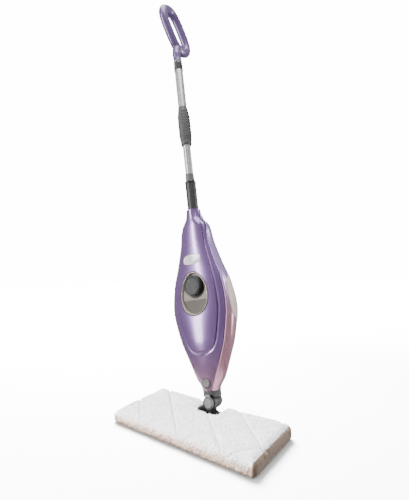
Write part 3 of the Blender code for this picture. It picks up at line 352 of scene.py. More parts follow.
def makePiece(name, bm, body, finish, replaced=(), place=None, sharp=35, turnNormals=True):
    # a finished piece from a bmesh: closed, facing outwards and riding on its body
    bmesh.ops.remove_doubles(bm, verts=bm.verts, dist=0.000005)
    if turnNormals:
        bmesh.ops.recalc_face_normals(bm, faces=bm.faces)
    if place:
        bm.transform(place)
    piece = newObject(name, bm)
    piece.data.shade_smooth()
    piece.data.set_sharp_from_angle(angle=math.radians(sharp))
    piece.data.materials.append(finishes[finish])
    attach(piece, body)
    if replaced:
        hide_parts(*replaced)
    return piece


def bakeModifiers(piece):
    # the piece keeps the shape that its modifiers give it
    graph = bpy.context.evaluated_depsgraph_get()
    mesh = bpy.data.meshes.new_from_object(piece.evaluated_get(graph))
    piece.modifiers.clear()
    piece.data = mesh


def turnedProfile(profile, steps, startAngle=0.0, sweep=360.0):
    # a profile of (radius, height) points spun round z
    bm = bmesh.new()
    points = [bm.verts.new((r, 0, z)) for r, z in profile]
    edges = [bm.edges.new(pair) for pair in zip(points, points[1:])]
    bmesh.ops.rotate(bm, verts=points, cent=(0, 0, 0),
                     matrix=Matrix.Rotation(math.radians(startAngle), 3, 'Z'))
    bmesh.ops.spin(bm, geom=points + edges, cent=(0, 0, 0), axis=(0, 0, 1), angle=math.radians(sweep),
                   steps=steps, use_merge=sweep == 360.0)
    return bm


def softCopy(node, finish, bevel=0.0004, sharp=38):
    # a CAD node with merged corners, smooth round faces and softened edges
    bm = bmesh.new()
    bm.from_mesh(nodes[node].data)
    bmesh.ops.remove_doubles(bm, verts=bm.verts, dist=0.00001)
    body = nodes[node]["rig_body"]
    piece = makePiece(node + "_soft", bm, body, finish, (node,), sharp=sharp, turnNormals=False)
    if bevel:
        edge = piece.modifiers.new("softEdge", 'BEVEL')
        edge.width = bevel
        edge.segments = 2
        edge.limit_method = 'ANGLE'
        edge.angle_limit = math.radians(40)
        edge.harden_normals = False
        edge.use_clamp_overlap = True
    return piece


visibleNodes = {
    "neck_collar": "darkGreyPlastic", "swivel_knuckle": "darkGreyPlastic",
    "pin_cover_front": "lightGreyPlastic", "pin_cover_rear": "blackPlastic",
    "neck_fork": "darkGreyPlastic", "pump_tube": "tubeGrey",
    "pole_flange": "blackPlastic", "small_collar": "midGreyPlastic", "lower_tube": "drawnTube",
    "upper_tube": "drawnTube", "sleeve_bush": "darkGreyPlastic", "top_collar": "darkGreyPlastic",
    "latch_button": "darkGreyPlastic", "head_cover": "blackPlastic", "head_base_plate": "blackPlastic",
    "swivel_saddle": "blackPlastic", "cord_gland": "rubberBlack", "pole_guide": "darkGreyPlastic",
}
for node, finish in visibleNodes.items():
    softCopy(node, finish)

innerNodes = {
    "castMetal": ["boiler"], "milkyTank": ["water_tank"], "blackPlastic": ["thermostat"],
    "darkGreyPlastic": ["filler_plug"], "midGreyPlastic": ["water_pump", "pump_piston", "steam_manifold"],
    "lightGreyPlastic": ["terminal_block", "filler_neck"],
    "rubberBlack": ["filler_seal", "water_hose", "steam_hose"],
    "turnedBrass": ["roll_bush_front", "roll_bush_rear"],
    "brightSteel": ["pitch_pin", "roll_pin", "pump_spring", "button_spring", "latch_spring"]
    + [f"head_screw_{i}" for i in range(1, 5)],
}
for finish, group in innerNodes.items():
    for node in group:
        for slot in nodes[node].material_slots:
            slot.material = finishes[finish]
print("small pieces done")


shell = {
    "bottom": span("front_shell")[0].z, "top": span("front_shell")[1].z,
    "halfWidth": 0.0785, "front": 0.0315, "rear": 0.0570, "neck": 0.0197, "neckFront": 0.0185,
    "collar": 0.0170, "wall": 0.002, "raise": 0.0019, "groove": 0.0011, "tip": 0.18, "lip": 0.0012,
    "shoulder": 0.0018,
    # share of the half width, front depth and rear depth at shares of the length
    "outline": [(0.00, 0.00, 0.00, 0.00), (0.06, 0.25, 0.06, 0.22), (0.16, 0.54, 0.36, 0.53),
                (0.27, 0.81, 0.72, 0.82), (0.43, 1.00, 1.00, 1.00), (0.55, 0.89, 0.94, 0.92),
                (0.68, 0.62, 0.62, 0.70), (0.80, 0.40, 0.36, 0.52), (0.895, 0.275, 0.20, 0.38),
                (0.95, 0.04, 0.06, 0.12), (1.00, 0.00, 0.00, 0.00)],
    "seam": [(0.00, 34), (0.06, 36), (0.10, 42), (0.15, 48), (0.20, 52.5), (0.27, 56.5), (0.43, 61),
             (0.60, 65), (0.73, 63), (0.84, 66), (0.895, 76), (0.95, 84), (1.00, 88)],
    "tongue": [(0.180, 3), (0.193, 13), (0.215, 23), (0.25, 30), (0.31, 34), (0.43, 38), (0.58, 40),
               (0.73, 42), (0.86, 44), (0.93, 47), (1.00, 54)],
}


def smoothValue(table, t, column=1):
    t = min(max(t, table[0][0]), table[-1][0])
    i = 0
    while i < len(table) - 2 and t > table[i + 1][0]:
        i += 1

    def slope(k):
        if k <= 0 or k >= len(table) - 1:
            return 0.0
        before = (table[k][column] - table[k - 1][column]) / (table[k][0] - table[k - 1][0])
        after = (table[k + 1][column] - table[k][column]) / (table[k + 1][0] - table[k][0])
        return 0.0 if before * after <= 0 else 2 * before * after / (before + after)

    h = table[i + 1][0] - table[i][0]
    u = (t - table[i][0]) / h
    return ((2 * u ** 3 - 3 * u ** 2 + 1) * table[i][column] + (u ** 3 - 2 * u ** 2 + u) * h * slope(i)
            + (3 * u ** 2 - 2 * u ** 3) * table[i + 1][column] + (u ** 3 - u ** 2) * h * slope(i + 1))


def signedPower(value, exponent):
    return math.copysign(abs(value) ** exponent, value)


def shareOf(height):
    return (height - shell["bottom"]) / (shell["top"] - shell["bottom"])


def section(height):
    # half width, front depth, rear depth and squareness of the body at a height
    t = shareOf(height)
    end = shell["neck"] + (shell["collar"] - shell["neck"]) * t
    endFront = shell["neckFront"] + (shell["collar"] - shell["neckFront"]) * t
    wide = smoothValue(shell["outline"], t, 1)
    return (end + (shell["halfWidth"] - end) * wide,
            endFront + (shell["front"] - endFront) * smoothValue(shell["outline"], t, 2),
            end + (shell["rear"] - end) * smoothValue(shell["outline"], t, 3), 2.0 + 0.4 * wide)


def skin(height, angle, lift=0.0):
    # point of the body's skin at an angle from the front
    half, front, rear, square = section(height)
    s, c = math.sin(math.radians(angle)), math.cos(math.radians(angle))
    depth = front if c >= 0 else rear
    return Vector(((half + lift) * signedPower(s, 2 / square), -(depth + lift) * signedPower(c, 2 / square),
                   height))


def frontFace(x, height):
    half, front, rear, square = section(height)
    return front * (1 - min(abs(x) / half, 0.999) ** square) ** (1 / square)


def smoothStep(value, low, high):
    u = min(max((value - low) / (high - low), 0.0), 1.0)
    return u * u * (3 - 2 * u)


def frontPoint(u, t):
    # u runs from seam to seam, t up the body; the raised tongue ends at the same u all the way up
    height = shell["bottom"] + (shell["top"] - shell["bottom"]) * t
    seam = smoothValue(shell["seam"], t) - 0.15
    edge = min(smoothValue(shell["tongue"], max(t, shell["tip"])), seam - 9)
    if t < shell["tip"]:
        edge += (seam * 0.6 - edge) * smoothStep(shell["tip"] - t, 0.0, 0.12)
    a = abs(u)
    if a <= 0.6:
        angle = edge * a / 0.6
    elif a <= 0.68:
        angle = edge + 2.6 * (a - 0.6) / 0.08
    else:
        angle = edge + 2.6 + (seam - edge - 2.6) * (a - 0.68) / 0.32
    full = smoothStep(t, shell["tip"], shell["tip"] + 0.02) * (1 - smoothStep(t, 0.9, 1.0))
    lift = shell["raise"] * full * (1 - smoothStep(a, 0.59, 0.68))
    lift -= shell["groove"] * full * smoothStep(a, 0.63, 0.68) * (1 - smoothStep(a, 0.68, 0.78))
    lift -= 0.0005 * smoothStep(a, 0.98, 1.0)
    return skin(height, math.copysign(angle, u), lift)


def rearPoint(u, t):
    height = shell["bottom"] + (shell["top"] - shell["bottom"]) * t
    seam = smoothValue(shell["seam"], t) + 0.15
    a = abs(u)
    angle = 180 - (180 - seam) * a
    lip = shell["lip"] * smoothStep(a, 0.90, 0.975) - 0.0010 * smoothStep(a, 0.975, 1.0)
    lip += shell["shoulder"] * smoothStep(t, 0.78, 0.93)
    return skin(height, math.copysign(angle, u), lip * (1 - smoothStep(t, 0.955, 0.978)))


def shellPiece(name, replaced, point, finish, across, up):
    bm = bmesh.new()
    bmesh.ops.create_grid(bm, x_segments=across, y_segments=up, size=0.5)
    for vert in bm.verts:
        vert.co = point(2 * vert.co.x, vert.co.y + 0.5)
    bm.normal_update()
    middle = bm.faces[:][len(bm.faces) // 2]
    if middle.normal.dot(middle.calc_center_median() * Vector((1, 1, 0))) < 0:
        bmesh.ops.reverse_faces(bm, faces=bm.faces)
    piece = makePiece(name, bm, "body", finish, (replaced,), pole, 30,
                      turnNormals=False)
    wall = piece.modifiers.new("wall", 'SOLIDIFY')
    wall.thickness = shell["wall"]
    wall.offset = -1
    return piece


panel = {"halfWidth": 0.0372, "halfHeight": 0.0488, "height": 0.2290, "narrow": 0.13, "rim": 0.0036,
         "recess": 0.0065, "thick": 0.0012, "sides": 96}


def eggPoint(angle, inset=0.0):
    a = math.radians(angle)
    return ((panel["halfWidth"] - inset) * math.cos(a) * (1 - panel["narrow"] * math.sin(a)),
            panel["height"] + (panel["halfHeight"] - inset) * math.sin(a))


def eggLoop(bm, inset, depth):
    # loop of the egg outline; depth gives how far in front of the pole each point is
    made = bmesh.ops.create_circle(bm, segments=panel["sides"], radius=1)["verts"]
    for vert in made:
        x, z = eggPoint(math.degrees(math.atan2(vert.co.y, vert.co.x)), inset)
        vert.co = (x, -depth(x, z), z)
    return list({edge for vert in made for edge in vert.link_edges})


def cutWith(piece, bm, place):
    # boolean cut whose cutter is thrown away
    bmesh.ops.recalc_face_normals(bm, faces=bm.faces)
    bm.transform(place)
    cutter = newObject("cutter", bm)
    hole = piece.modifiers.new("hole", 'BOOLEAN')
    hole.operation = 'DIFFERENCE'
    hole.solver = 'EXACT'
    hole.object = cutter
    bakeModifiers(piece)
    bpy.data.objects.remove(cutter, do_unlink=True)
    piece.data.shade_smooth()
    piece.data.set_sharp_from_angle(angle=math.radians(35))


button = {"height": 0.0395, "radius": 0.0086, "rim": 0.0014}

frontShell = shellPiece("front_casing", "front_shell", frontPoint, "frontPearl", 130, 170)
opening = bmesh.new()
eggLoop(opening, 0.0, lambda x, z: 0.08)
opening.faces.new(opening.verts)
deep = bmesh.ops.extrude_face_region(opening, geom=opening.faces[:])["geom"]
bmesh.ops.translate(opening, verts=[v for v in deep if isinstance(v, bmesh.types.BMVert)], vec=(0, 0.08, 0))
cutWith(frontShell, opening, pole)
opening = bmesh.new()
wide = button["radius"] + button["rim"] + 0.0007
bmesh.ops.create_cone(opening, cap_ends=True, segments=48, radius1=wide, radius2=wide, depth=0.06)
cutWith(frontShell, opening, facing(button["height"]) @ Matrix.Translation((0, 0, 0.03)))
shellPiece("rear_casing", "rear_shell", rearPoint, "rearPearl", 150, 170)
print("shells done")

# water windows at the sides, with a fine joint line round each
window = {"height": 0.2130, "halfHeight": 0.0550, "angle": 105.0, "halfAngle": 31.0, "proud": 0.0004,
          "joint": 0.0008, "jointProud": 0.00012, "thick": 0.0016}


def windowPoint(u, v, side, proud, grow=0.0):
    height = window["height"] + (window["halfHeight"] + grow) * v
    wide = (window["halfAngle"] + math.degrees(grow / shell["rear"])) * (1 - min(abs(v), 1.0) ** 2.2)
    return skin(height, side * (window["angle"] + max(wide, 0.4) * u), proud)


for side, word in ((-1, "left"), (1, "right")):
    for name, finish, grow, proud in (
            (f"frosted_window_{word}", "frostedWindow", 0.0, window["proud"]),
            (f"window_joint_{word}", "blackPlastic", window["joint"], window["jointProud"])):
        bm = bmesh.new()
        bmesh.ops.create_grid(bm, x_segments=28, y_segments=60, size=0.5)
        for vert in bm.verts:
            u, v = 2 * vert.co.x, 2 * vert.co.y
            edge = max(abs(u), abs(v))
            vert.co = windowPoint(u, v * 0.995, side, proud * (1 - 0.9 * smoothStep(edge, 0.93, 1.0)), grow)
        bmesh.ops.solidify(bm, geom=bm.faces[:], thickness=window["thick"])
        replaced = (f"tank_window_{word}",) if finish == "frostedWindow" else ()
        makePiece(name, bm, "body", finish, replaced, pole, 50)
print("windows done")

# oval bezel and the sunk panel inside it
panelFace = shell["front"] + 0.0015 - panel["recess"]


def bezelLoop(inset, lift, share=0.0):
    # share 0 follows the body's face and 1 lies on the panel
    def place(x, z):
        face = frontFace(x, z) + shell["raise"] + lift
        return face + (panelFace - face) * share
    return inset, place


def ringStack(bm, loops, closed=False):
    pairs = list(zip(loops, loops[1:])) + ([(loops[-1], loops[0])] if closed else [])
    for first, second in pairs:
        bmesh.ops.bridge_loops(bm, edges=first + second)


behind = panelFace - 0.0035
bm = bmesh.new()
steps = [(0.0014, lambda x, z: behind), bezelLoop(0.0014, -0.0006), bezelLoop(0.0017, 0.0004),
         bezelLoop(0.0021, 0.0007), bezelLoop(0.0027, 0.0006), bezelLoop(0.0032, 0.0000),
         bezelLoop(0.0035, -0.0012), bezelLoop(0.0040, 0, 0.8), (0.0048, lambda x, z: behind)]
ringStack(bm, [eggLoop(bm, inset, depth) for inset, depth in steps], closed=True)
makePiece("bezel_ring", bm, "body", "bezelBeige", ("oval_bezel",), pole, 40)
# dark brown ring round the bezel: the gap between shell and bezel, with painted shadow in it
bm = bmesh.new()
ringStack(bm, [eggLoop(bm, inset, depth) for inset, depth in
               [(0.0013, lambda x, z: behind), bezelLoop(-0.0009, -0.0010), bezelLoop(-0.0007, 0.0002),
                bezelLoop(0.0011, 0.0004), bezelLoop(0.0013, 0.0002)]], closed=True)
makePiece("bezel_gap_shadow", bm, "body", "gapShadowBrown", (), pole, 40)

crest = {"height": 0.2145, "slope": -0.04, "upper": 0.035, "lower": 0.075}
bm = bmesh.new()
edges = eggLoop(bm, panel["rim"] + 0.0005, lambda x, z: panelFace)
bmesh.ops.contextual_create(bm, geom=edges)
bmesh.ops.bisect_plane(bm, geom=bm.verts[:] + bm.edges[:] + bm.faces[:],
                       plane_co=(0, -panelFace, crest["height"]), plane_no=Vector((-crest["slope"], 0, 1)))
for vert in bm.verts:
    above = vert.co.z - crest["height"] - crest["slope"] * vert.co.x
    vert.co.y += above * crest["upper"] if above > 0 else -above * crest["lower"]
bmesh.ops.solidify(bm, geom=bm.faces[:], thickness=panel["thick"])
makePiece("sunk_panel", bm, "body", "sunkPanel", ("oval_panel",), pole, 2)
print("front panel done")

# filler knob
knob = {"height": 0.2460, "radius": 0.0224, "thick": 0.0105, "ribs": 60, "ribDepth": 0.0004}
back, r = panelFace + 0.0003, knob["radius"]
front = back + knob["thick"]
bm = turnedProfile([(0, back), (r - 0.0012, back), (r, back + 0.0012), (r, front - 0.0026),
                    (r - 0.0003, front - 0.0014), (r - 0.0010, front - 0.0005), (r - 0.0020, front),
                    (r - 0.0034, front - 0.0002), (r - 0.0044, front - 0.0010), (r - 0.0062, front - 0.0014),
                    (0.006, front - 0.0009), (0, front - 0.0008)], 4 * knob["ribs"])
for vert in bm.verts:
    out = vert.co.xy.length
    if out > r - 0.0001 and vert.co.z < front - 0.002:
        turn = math.atan2(vert.co.y, vert.co.x) * knob["ribs"]
        inward = 1 - knob["ribDepth"] * (0.5 + 0.5 * math.cos(turn)) / out
        vert.co.x, vert.co.y = vert.co.x * inward, vert.co.y * inward
makePiece("filler_knob_ribbed", bm, "filler_knob", "knobGrey", ("filler_knob",),
          facing(knob["height"]), 30)

# release button and its ring
reach = -span("release_button")[0].y
r = button["radius"]
bm = turnedProfile([(0, reach - 0.0052), (r, reach - 0.0052), (r, reach - 0.0010),
                    (r - 0.0004, reach - 0.0004), (r - 0.0012, reach), (r - 0.0024, reach - 0.0002),
                    (0.003, reach - 0.0008), (0, reach - 0.0009)], 64)
makePiece("release_button_dished", bm, "release_button", "buttonGrey",
          ("release_button",), facing(button["height"]), 30)
inner, outer = r + 0.0004, r + 0.0018
bm = turnedProfile([(inner, reach - 0.0045), (inner, reach - 0.0011), (inner + 0.0003, reach - 0.0007),
                    (outer - 0.0004, reach - 0.0008), (outer, reach - 0.0013), (outer, reach - 0.0045),
                    (inner, reach - 0.0045)], 64)
makePiece("button_ring", bm, "body", "darkGreyPlastic", ("button_bezel",),
          facing(button["height"]), 30)
print("knob and button done")

# dark ring round the cover of the swivel's pin
face = -span("pin_cover_front")[0].y
coverRing = {"inner": 0.0098, "outer": 0.0118, "proud": 0.0006}
bm = turnedProfile([(coverRing["inner"], face - 0.0015), (coverRing["inner"], face + coverRing["proud"]),
                    (coverRing["outer"], face + coverRing["proud"]), (coverRing["outer"], face - 0.0015),
                    (coverRing["inner"], face - 0.0015)], 64)
makePiece("pin_cover_ring", bm, "body", "darkGreyPlastic", (), facing(0), 30)

# blank badge plate
badge = {"height": 0.3062, "halfWidth": 0.0235, "halfHeight": 0.0116, "square": 2.7, "sides": 72}


def badgeLoop(bm, share, lift):
    made = bmesh.ops.create_circle(bm, segments=badge["sides"], radius=1)["verts"]
    for vert in made:
        x = badge["halfWidth"] * share * signedPower(vert.co.x, 2 / badge["square"])
        z = badge["height"] + badge["halfHeight"] * share * signedPower(vert.co.y, 2 / badge["square"])
        vert.co = (x, -frontFace(x, z) - shell["raise"] - lift, z)
    return list({edge for vert in made for edge in vert.link_edges})


bm = bmesh.new()
ringStack(bm, [badgeLoop(bm, share, lift) for share, lift in
               ((0.02, -0.001), (0.99, -0.001), (1.0, 0.0004), (0.985, 0.0009), (0.95, 0.0010),
                (0.90, 0.0006), (0.88, 0.0005), (0.5, 0.0005), (0.02, 0.0005))], closed=True)
makePiece("badge_plate", bm, "body", "badgePearl", (), pole, 40)

# loop handle: both halves as one smooth moulding
grip = {"halfLength": 0.0580, "halfWidth": 0.0322, "back": 0.0022, "height": 0.9505, "tilt": 32.0,
        "square": 2.8, "limbX": 0.0114, "limb": 0.0123, "stem": 0.0107, "join": 228, "steps": 96,
        "sides": 32, "voxel": 0.0011, "smoothing": 8}


def gripPoint(angle):
    # point of the loop's centre line; the loop stands in the pole's own plane and leans forwards
    a = math.radians(angle)
    lengthwise = grip["halfLength"] * signedPower(math.cos(a), 2 / grip["square"])
    wide = grip["halfWidth"] * signedPower(math.sin(a), 2 / grip["square"])
    tilt = math.radians(grip["tilt"])
    return Vector((0, grip["back"] - math.sin(tilt) * lengthwise + math.cos(tilt) * wide,
                   grip["height"] + math.cos(tilt) * lengthwise + math.sin(tilt) * wide))


def evenPoints(points, count):
    # the same closed line with its points spread evenly
    lengths = [0.0]
    for before, after in zip(points, points[1:] + points[:1]):
        lengths.append(lengths[-1] + (after - before).length)
    even, k = [], 0
    for i in range(count):
        want = lengths[-1] * i / count
        while lengths[k + 1] < want:
            k += 1
        even.append(points[k])
    return even


def limbRing(bm, centre, along, halfX, half):
    made = bmesh.ops.create_circle(bm, segments=grip["sides"], radius=1)["verts"]
    normal = along.cross(Vector((1, 0, 0))).normalized()
    for vert in made:
        vert.co = centre + Vector((1, 0, 0)) * vert.co.x * halfX + normal * vert.co.y * half
    return list({edge for vert in made for edge in vert.link_edges})


line = evenPoints([gripPoint(360 * i / 720) for i in range(720)], grip["steps"])
bm = bmesh.new()
ringStack(bm, [limbRing(bm, p, (line[(i + 1) % len(line)] - line[i - 1]).normalized(), grip["limbX"],
                        grip["limb"]) for i, p in enumerate(line)], closed=True)
top = span("top_collar")[1].z
join = gripPoint(grip["join"])
stemLine = [Vector((0, 0, top + 0.0003)), Vector((0, -0.0005, top + 0.012)),
            Vector((0, -0.003, top + 0.024)),
            Vector((0, (join.y - 0.004) / 2, (top + 0.028 + join.z) / 2)), join]
ringStack(bm, [limbRing(bm, p, (stemLine[min(i + 1, 4)] - stemLine[max(i - 1, 0)]).normalized(),
                        grip["stem"], grip["stem"]) for i, p in enumerate(stemLine)])
bmesh.ops.holes_fill(bm, edges=[e for e in bm.edges if e.is_boundary], sides=0)
handle = makePiece("handle_loop", bm, "upper_pole", "handlePurple",
                   ("handle_left", "handle_right"), pole)
melt = handle.modifiers.new("melt", 'REMESH')
melt.mode = 'VOXEL'
melt.voxel_size = grip["voxel"]
ease = handle.modifiers.new("ease", 'SMOOTH')
ease.iterations = grip["smoothing"]
ease.factor = 0.5
bakeModifiers(handle)
handle.data.shade_smooth()
print("handle done")

# grip sleeve: ribbed front and sides, black strip behind
sleeve = {"end": 0.0133, "wide": 0.0157, "ribs": 24, "ribDepth": 0.0010, "half": 84.0}
low, high = span("grip_sleeve")[0].z, span("grip_sleeve")[1].z
inside = span("upper_tube")[1].x + 0.0003
sleeveShape = [(0.0, sleeve["end"] - 0.0015), (0.03, sleeve["end"] - 0.0002),
               (0.12, sleeve["end"] + 0.0006), (0.28, sleeve["wide"]), (0.72, sleeve["wide"]),
               (0.90, sleeve["end"]), (1.0, sleeve["end"] - 0.0012)]
profile = []
count = sleeve["ribs"] * 6
for i in range(count + 1):
    t = i / count
    ribbed = smoothStep(t, 0.07, 0.10) * (1 - smoothStep(t, 0.86, 0.89))
    groove = sleeve["ribDepth"] * (0.5 - 0.5 * math.cos(math.tau * sleeve["ribs"] * t)) * ribbed
    profile.append((smoothValue(sleeveShape, t) - groove, low + (high - low) * t))
profile = [(inside, low)] + profile + [(inside, high), (inside, low)]
bm = turnedProfile(profile, 72, -90 - sleeve["half"], 2 * sleeve["half"] - 0.8)
bmesh.ops.holes_fill(bm, edges=bm.edges, sides=0)
makePiece("grip_sleeve_ribbed", bm, "upper_pole", "sleeveGrey", ("grip_sleeve",), pole,
          50)
stripProfile = [(inside, low + 0.002)]
for i in range(61):
    t = 0.02 + 0.96 * i / 60
    stripProfile.append((smoothValue(sleeveShape, t) + 0.0001, low + (high - low) * t))
stripProfile += [(inside, high - 0.002), (inside, low + 0.002)]
bm = turnedProfile(stripProfile, 24, 90 - (180 - sleeve["half"]), 2 * (180 - sleeve["half"]) - 0.4)
bmesh.ops.holes_fill(bm, edges=bm.edges, sides=0)
makePiece("grip_strip_black", bm, "upper_pole", "blackPlastic", ("grip_strip",), pole, 50)
print("grip done")


pad = {"corner": 0.008, "rim": 0.009, "grow": 0.0030, "edgeDrop": 0.0040, "endLift": 0.0035,
       "voxel": 0.0042, "fineVoxel": 0.0015, "puffLimit": 0.0055, "pressure": 4.0, "mass": 0.2, "frames": 20,
       "pitch": 0.0957, "offsetX": 0.15, "offsetY": 0.87, "valley": 0.0028, "valleyWidth": 0.0026,
       "pile": 0.0012, "fineBumps": 330, "coarseBumps": 140, "edgeWidth": 0.013, "band": 0.0185,
       "endTop": 0.0262, "seamShade": 0.0030, "heldSole": 0.004, "heldSeam": 0.0025, "heldMouth": 0.006}
# inside is the colour of the painted shade on the cloth inside the mouth
mouth = {"half": 0.027, "front": 0.023, "round": 0.014, "floor": 0.010, "inside": (0.030, 0.029, 0.028)}
tufts = {"count": 26000, "seed": 7, "short": 0.0016, "long": 0.0028, "hang": 0.0026, "thin": 0.0005,
         "thick": 0.0009, "seamGap": 0.0028, "mouthGap": 0.0025}
padLow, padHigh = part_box("mop_pad")


def seamDistance(x, y):
    # distance to the nearest line of the diamond quilting
    u = ((x / pad["pitch"] - pad["offsetX"]) + (y / pad["pitch"] + pad["offsetY"]))
    v = ((x / pad["pitch"] - pad["offsetX"]) - (y / pad["pitch"] + pad["offsetY"]))
    return min(abs(u - round(u)), abs(v - round(v))) * pad["pitch"] * math.sqrt(0.5)


def makePadShape():
    bm = bmesh.new()
    bmesh.ops.create_cube(bm, size=1)
    size = padHigh - padLow
    bmesh.ops.scale(bm, vec=(size.x + 2 * pad["grow"], size.y + pad["grow"], size.z - 0.001),
                    verts=bm.verts)
    upright = [e for e in bm.edges if abs(e.verts[0].co.z - e.verts[1].co.z) > 0.01]
    bmesh.ops.bevel(bm, geom=upright, offset=pad["corner"], segments=6, profile=0.5, affect='EDGES',
                    material=-1)
    rims = [e for e in bm.edges if abs(e.verts[0].co.z - e.verts[1].co.z) < 0.001 and len(e.link_faces) == 2
            and any(abs(f.normal.z) > 0.9 for f in e.link_faces) and e.verts[0].co.z > 0]
    bmesh.ops.bevel(bm, geom=rims, offset=pad["rim"], segments=5, profile=0.5, affect='EDGES', material=-1)
    bmesh.ops.translate(bm, vec=((padLow.x + padHigh.x) / 2, (padLow.y + padHigh.y) / 2,
                                 padLow.z + (size.z - 0.001) / 2 + 0.0004), verts=bm.verts)
    return bm


def mouthCutter():
    bm = bmesh.new()
    bmesh.ops.create_cube(bm, size=1)
    back = padHigh.y + 0.02
    bmesh.ops.scale(bm, vec=(2 * mouth["half"], back - mouth["front"], 0.06), verts=bm.verts)
    bmesh.ops.translate(bm, vec=(0, (back + mouth["front"]) / 2, mouth["floor"] + 0.03), verts=bm.verts)
    corners = [e for e in bm.edges if abs(e.verts[0].co.z - e.verts[1].co.z) > 0.01
               and e.verts[0].co.y < 0.04]
    bmesh.ops.bevel(bm, geom=corners, offset=mouth["round"], segments=6, profile=0.5, affect='EDGES',
                    material=-1)
    return bm


def seamShare(tree, place):
    # 0 on the sewn lines of the diamond quilting and 1 away from them; it places the painted shade along the
    # lines
    x, y = axesOf(tree, place)[:2]
    shares = []
    for sign in (1, -1):
        total = calc(tree, 'MULTIPLY_ADD', y, sign, x)
        scaled = calc(tree, 'MULTIPLY_ADD', total, 1 / pad["pitch"], sign * pad["offsetY"] - pad["offsetX"])
        shares.append(calc(tree, 'PINGPONG', scaled, 0.5))
    reach = pad["seamShade"] / pad["pitch"] / math.sqrt(0.5)
    return spreadOver(tree, calc(tree, 'MINIMUM', *shares), 0.15 * reach, reach)


def terryFinish(name):
    # looped white pile with painted shade along the sewn lines, a peach woven band low on the sides with
    # painted shade towards the floor, flat tan end panels and painted shade inside the mouth
    finish, tree, shader = startFinish(name, {"colour": (0.86, 0.855, 0.85), "rough": 0.95, "shine": 0.2})
    shader.inputs["Sheen Weight"].default_value = 0.35
    shader.inputs["Sheen Roughness"].default_value = 0.5
    shader.inputs["Subsurface Weight"].default_value = 0.12
    shader.inputs["Subsurface Radius"].default_value = (0.003, 0.0025, 0.002)
    place = along(tree, turned=False)
    loops = noiseOf(tree, place, 420, 4)
    clumps = noiseOf(tree, place, 130, 3)
    paintedSeamShade = seamShare(tree, place)
    tufted = ramp(tree, loops, [(0.34, (0.60, 0.605, 0.62)), (0.56, (0.95, 0.95, 0.955))])
    # painted shade: grey along the sewn lines
    white = mixColours(tree, paintedSeamShade, (0.50, 0.50, 0.52), tufted)
    x, y, z = axesOf(tree, place)
    ragged = calc(tree, 'MULTIPLY_ADD', clumps, 0.012, z)
    band = spreadOver(tree, ragged, pad["band"] + 0.004, pad["band"] + 0.010, 1.0, 0.0)
    # painted shade: the peach band darkens towards the floor
    peach = mixColours(tree, spreadOver(tree, z, 0.002, 0.015),
                       ramp(tree, loops, [(0.35, (0.34, 0.20, 0.13)), (0.65, (0.50, 0.32, 0.22))]),
                       ramp(tree, loops, [(0.35, (0.60, 0.37, 0.25)), (0.65, (0.86, 0.62, 0.48))]))
    colour = mixColours(tree, band, white, peach)
    side = calc(tree, 'ABSOLUTE', x)
    atEnd = spreadOver(tree, side, padHigh.x - 0.0045, padHigh.x - 0.0025)
    below = spreadOver(tree, z, pad["endTop"] - 0.0008, pad["endTop"] + 0.0008, 1.0, 0.0)
    tan = ramp(tree, clumps, [(0.3, (0.150, 0.095, 0.062)), (0.7, (0.215, 0.145, 0.098))])
    outer = mixColours(tree, calc(tree, 'MULTIPLY', atEnd, below), colour, tan)
    # painted shade: the cloth inside the mouth is near black
    beside = spreadOver(tree, side, mouth["half"] + 0.001, mouth["half"] + 0.004)
    before = spreadOver(tree, y, mouth["front"] - 0.004, mouth["front"] - 0.001, 1.0, 0.0)
    above = spreadOver(tree, z, padHigh.z - 0.006, padHigh.z - 0.003)
    clear = calc(tree, 'MAXIMUM', calc(tree, 'MAXIMUM', beside, before), above)
    tree.links.new(mixColours(tree, clear, mouth["inside"], outer), shader.inputs["Base Color"])
    bumpFrom(tree, shader, loops, 0.0014, 0.9)
    return finish


def pileFinish(name):
    # tips of the white pile, which pick up a little peach near the floor
    finish, tree, shader = startFinish(name, {"colour": (0.9, 0.9, 0.9), "rough": 0.95, "shine": 0.2})
    place = along(tree, turned=False)
    clumps = noiseOf(tree, place, 260, 3)
    white = ramp(tree, clumps, [(0.32, (0.60, 0.605, 0.62)), (0.54, (0.96, 0.96, 0.965))])
    low = spreadOver(tree, axesOf(tree, place)[2], 0.008, pad["band"], 0.6, 0.0)
    tree.links.new(mixColours(tree, low, white, (0.74, 0.55, 0.42)), shader.inputs["Base Color"])
    return finish


finishes["terryCloth"] = terryFinish("terryCloth")
finishes["whitePile"] = pileFinish("whitePile")
padPiece = makePiece("quilted_pad", makePadShape(), "head", "terryCloth", ("mop_pad",))
voxels = padPiece.modifiers.new("voxels", 'REMESH')
voxels.mode = 'VOXEL'
voxels.voxel_size = pad["voxel"]
bakeModifiers(padPiece)


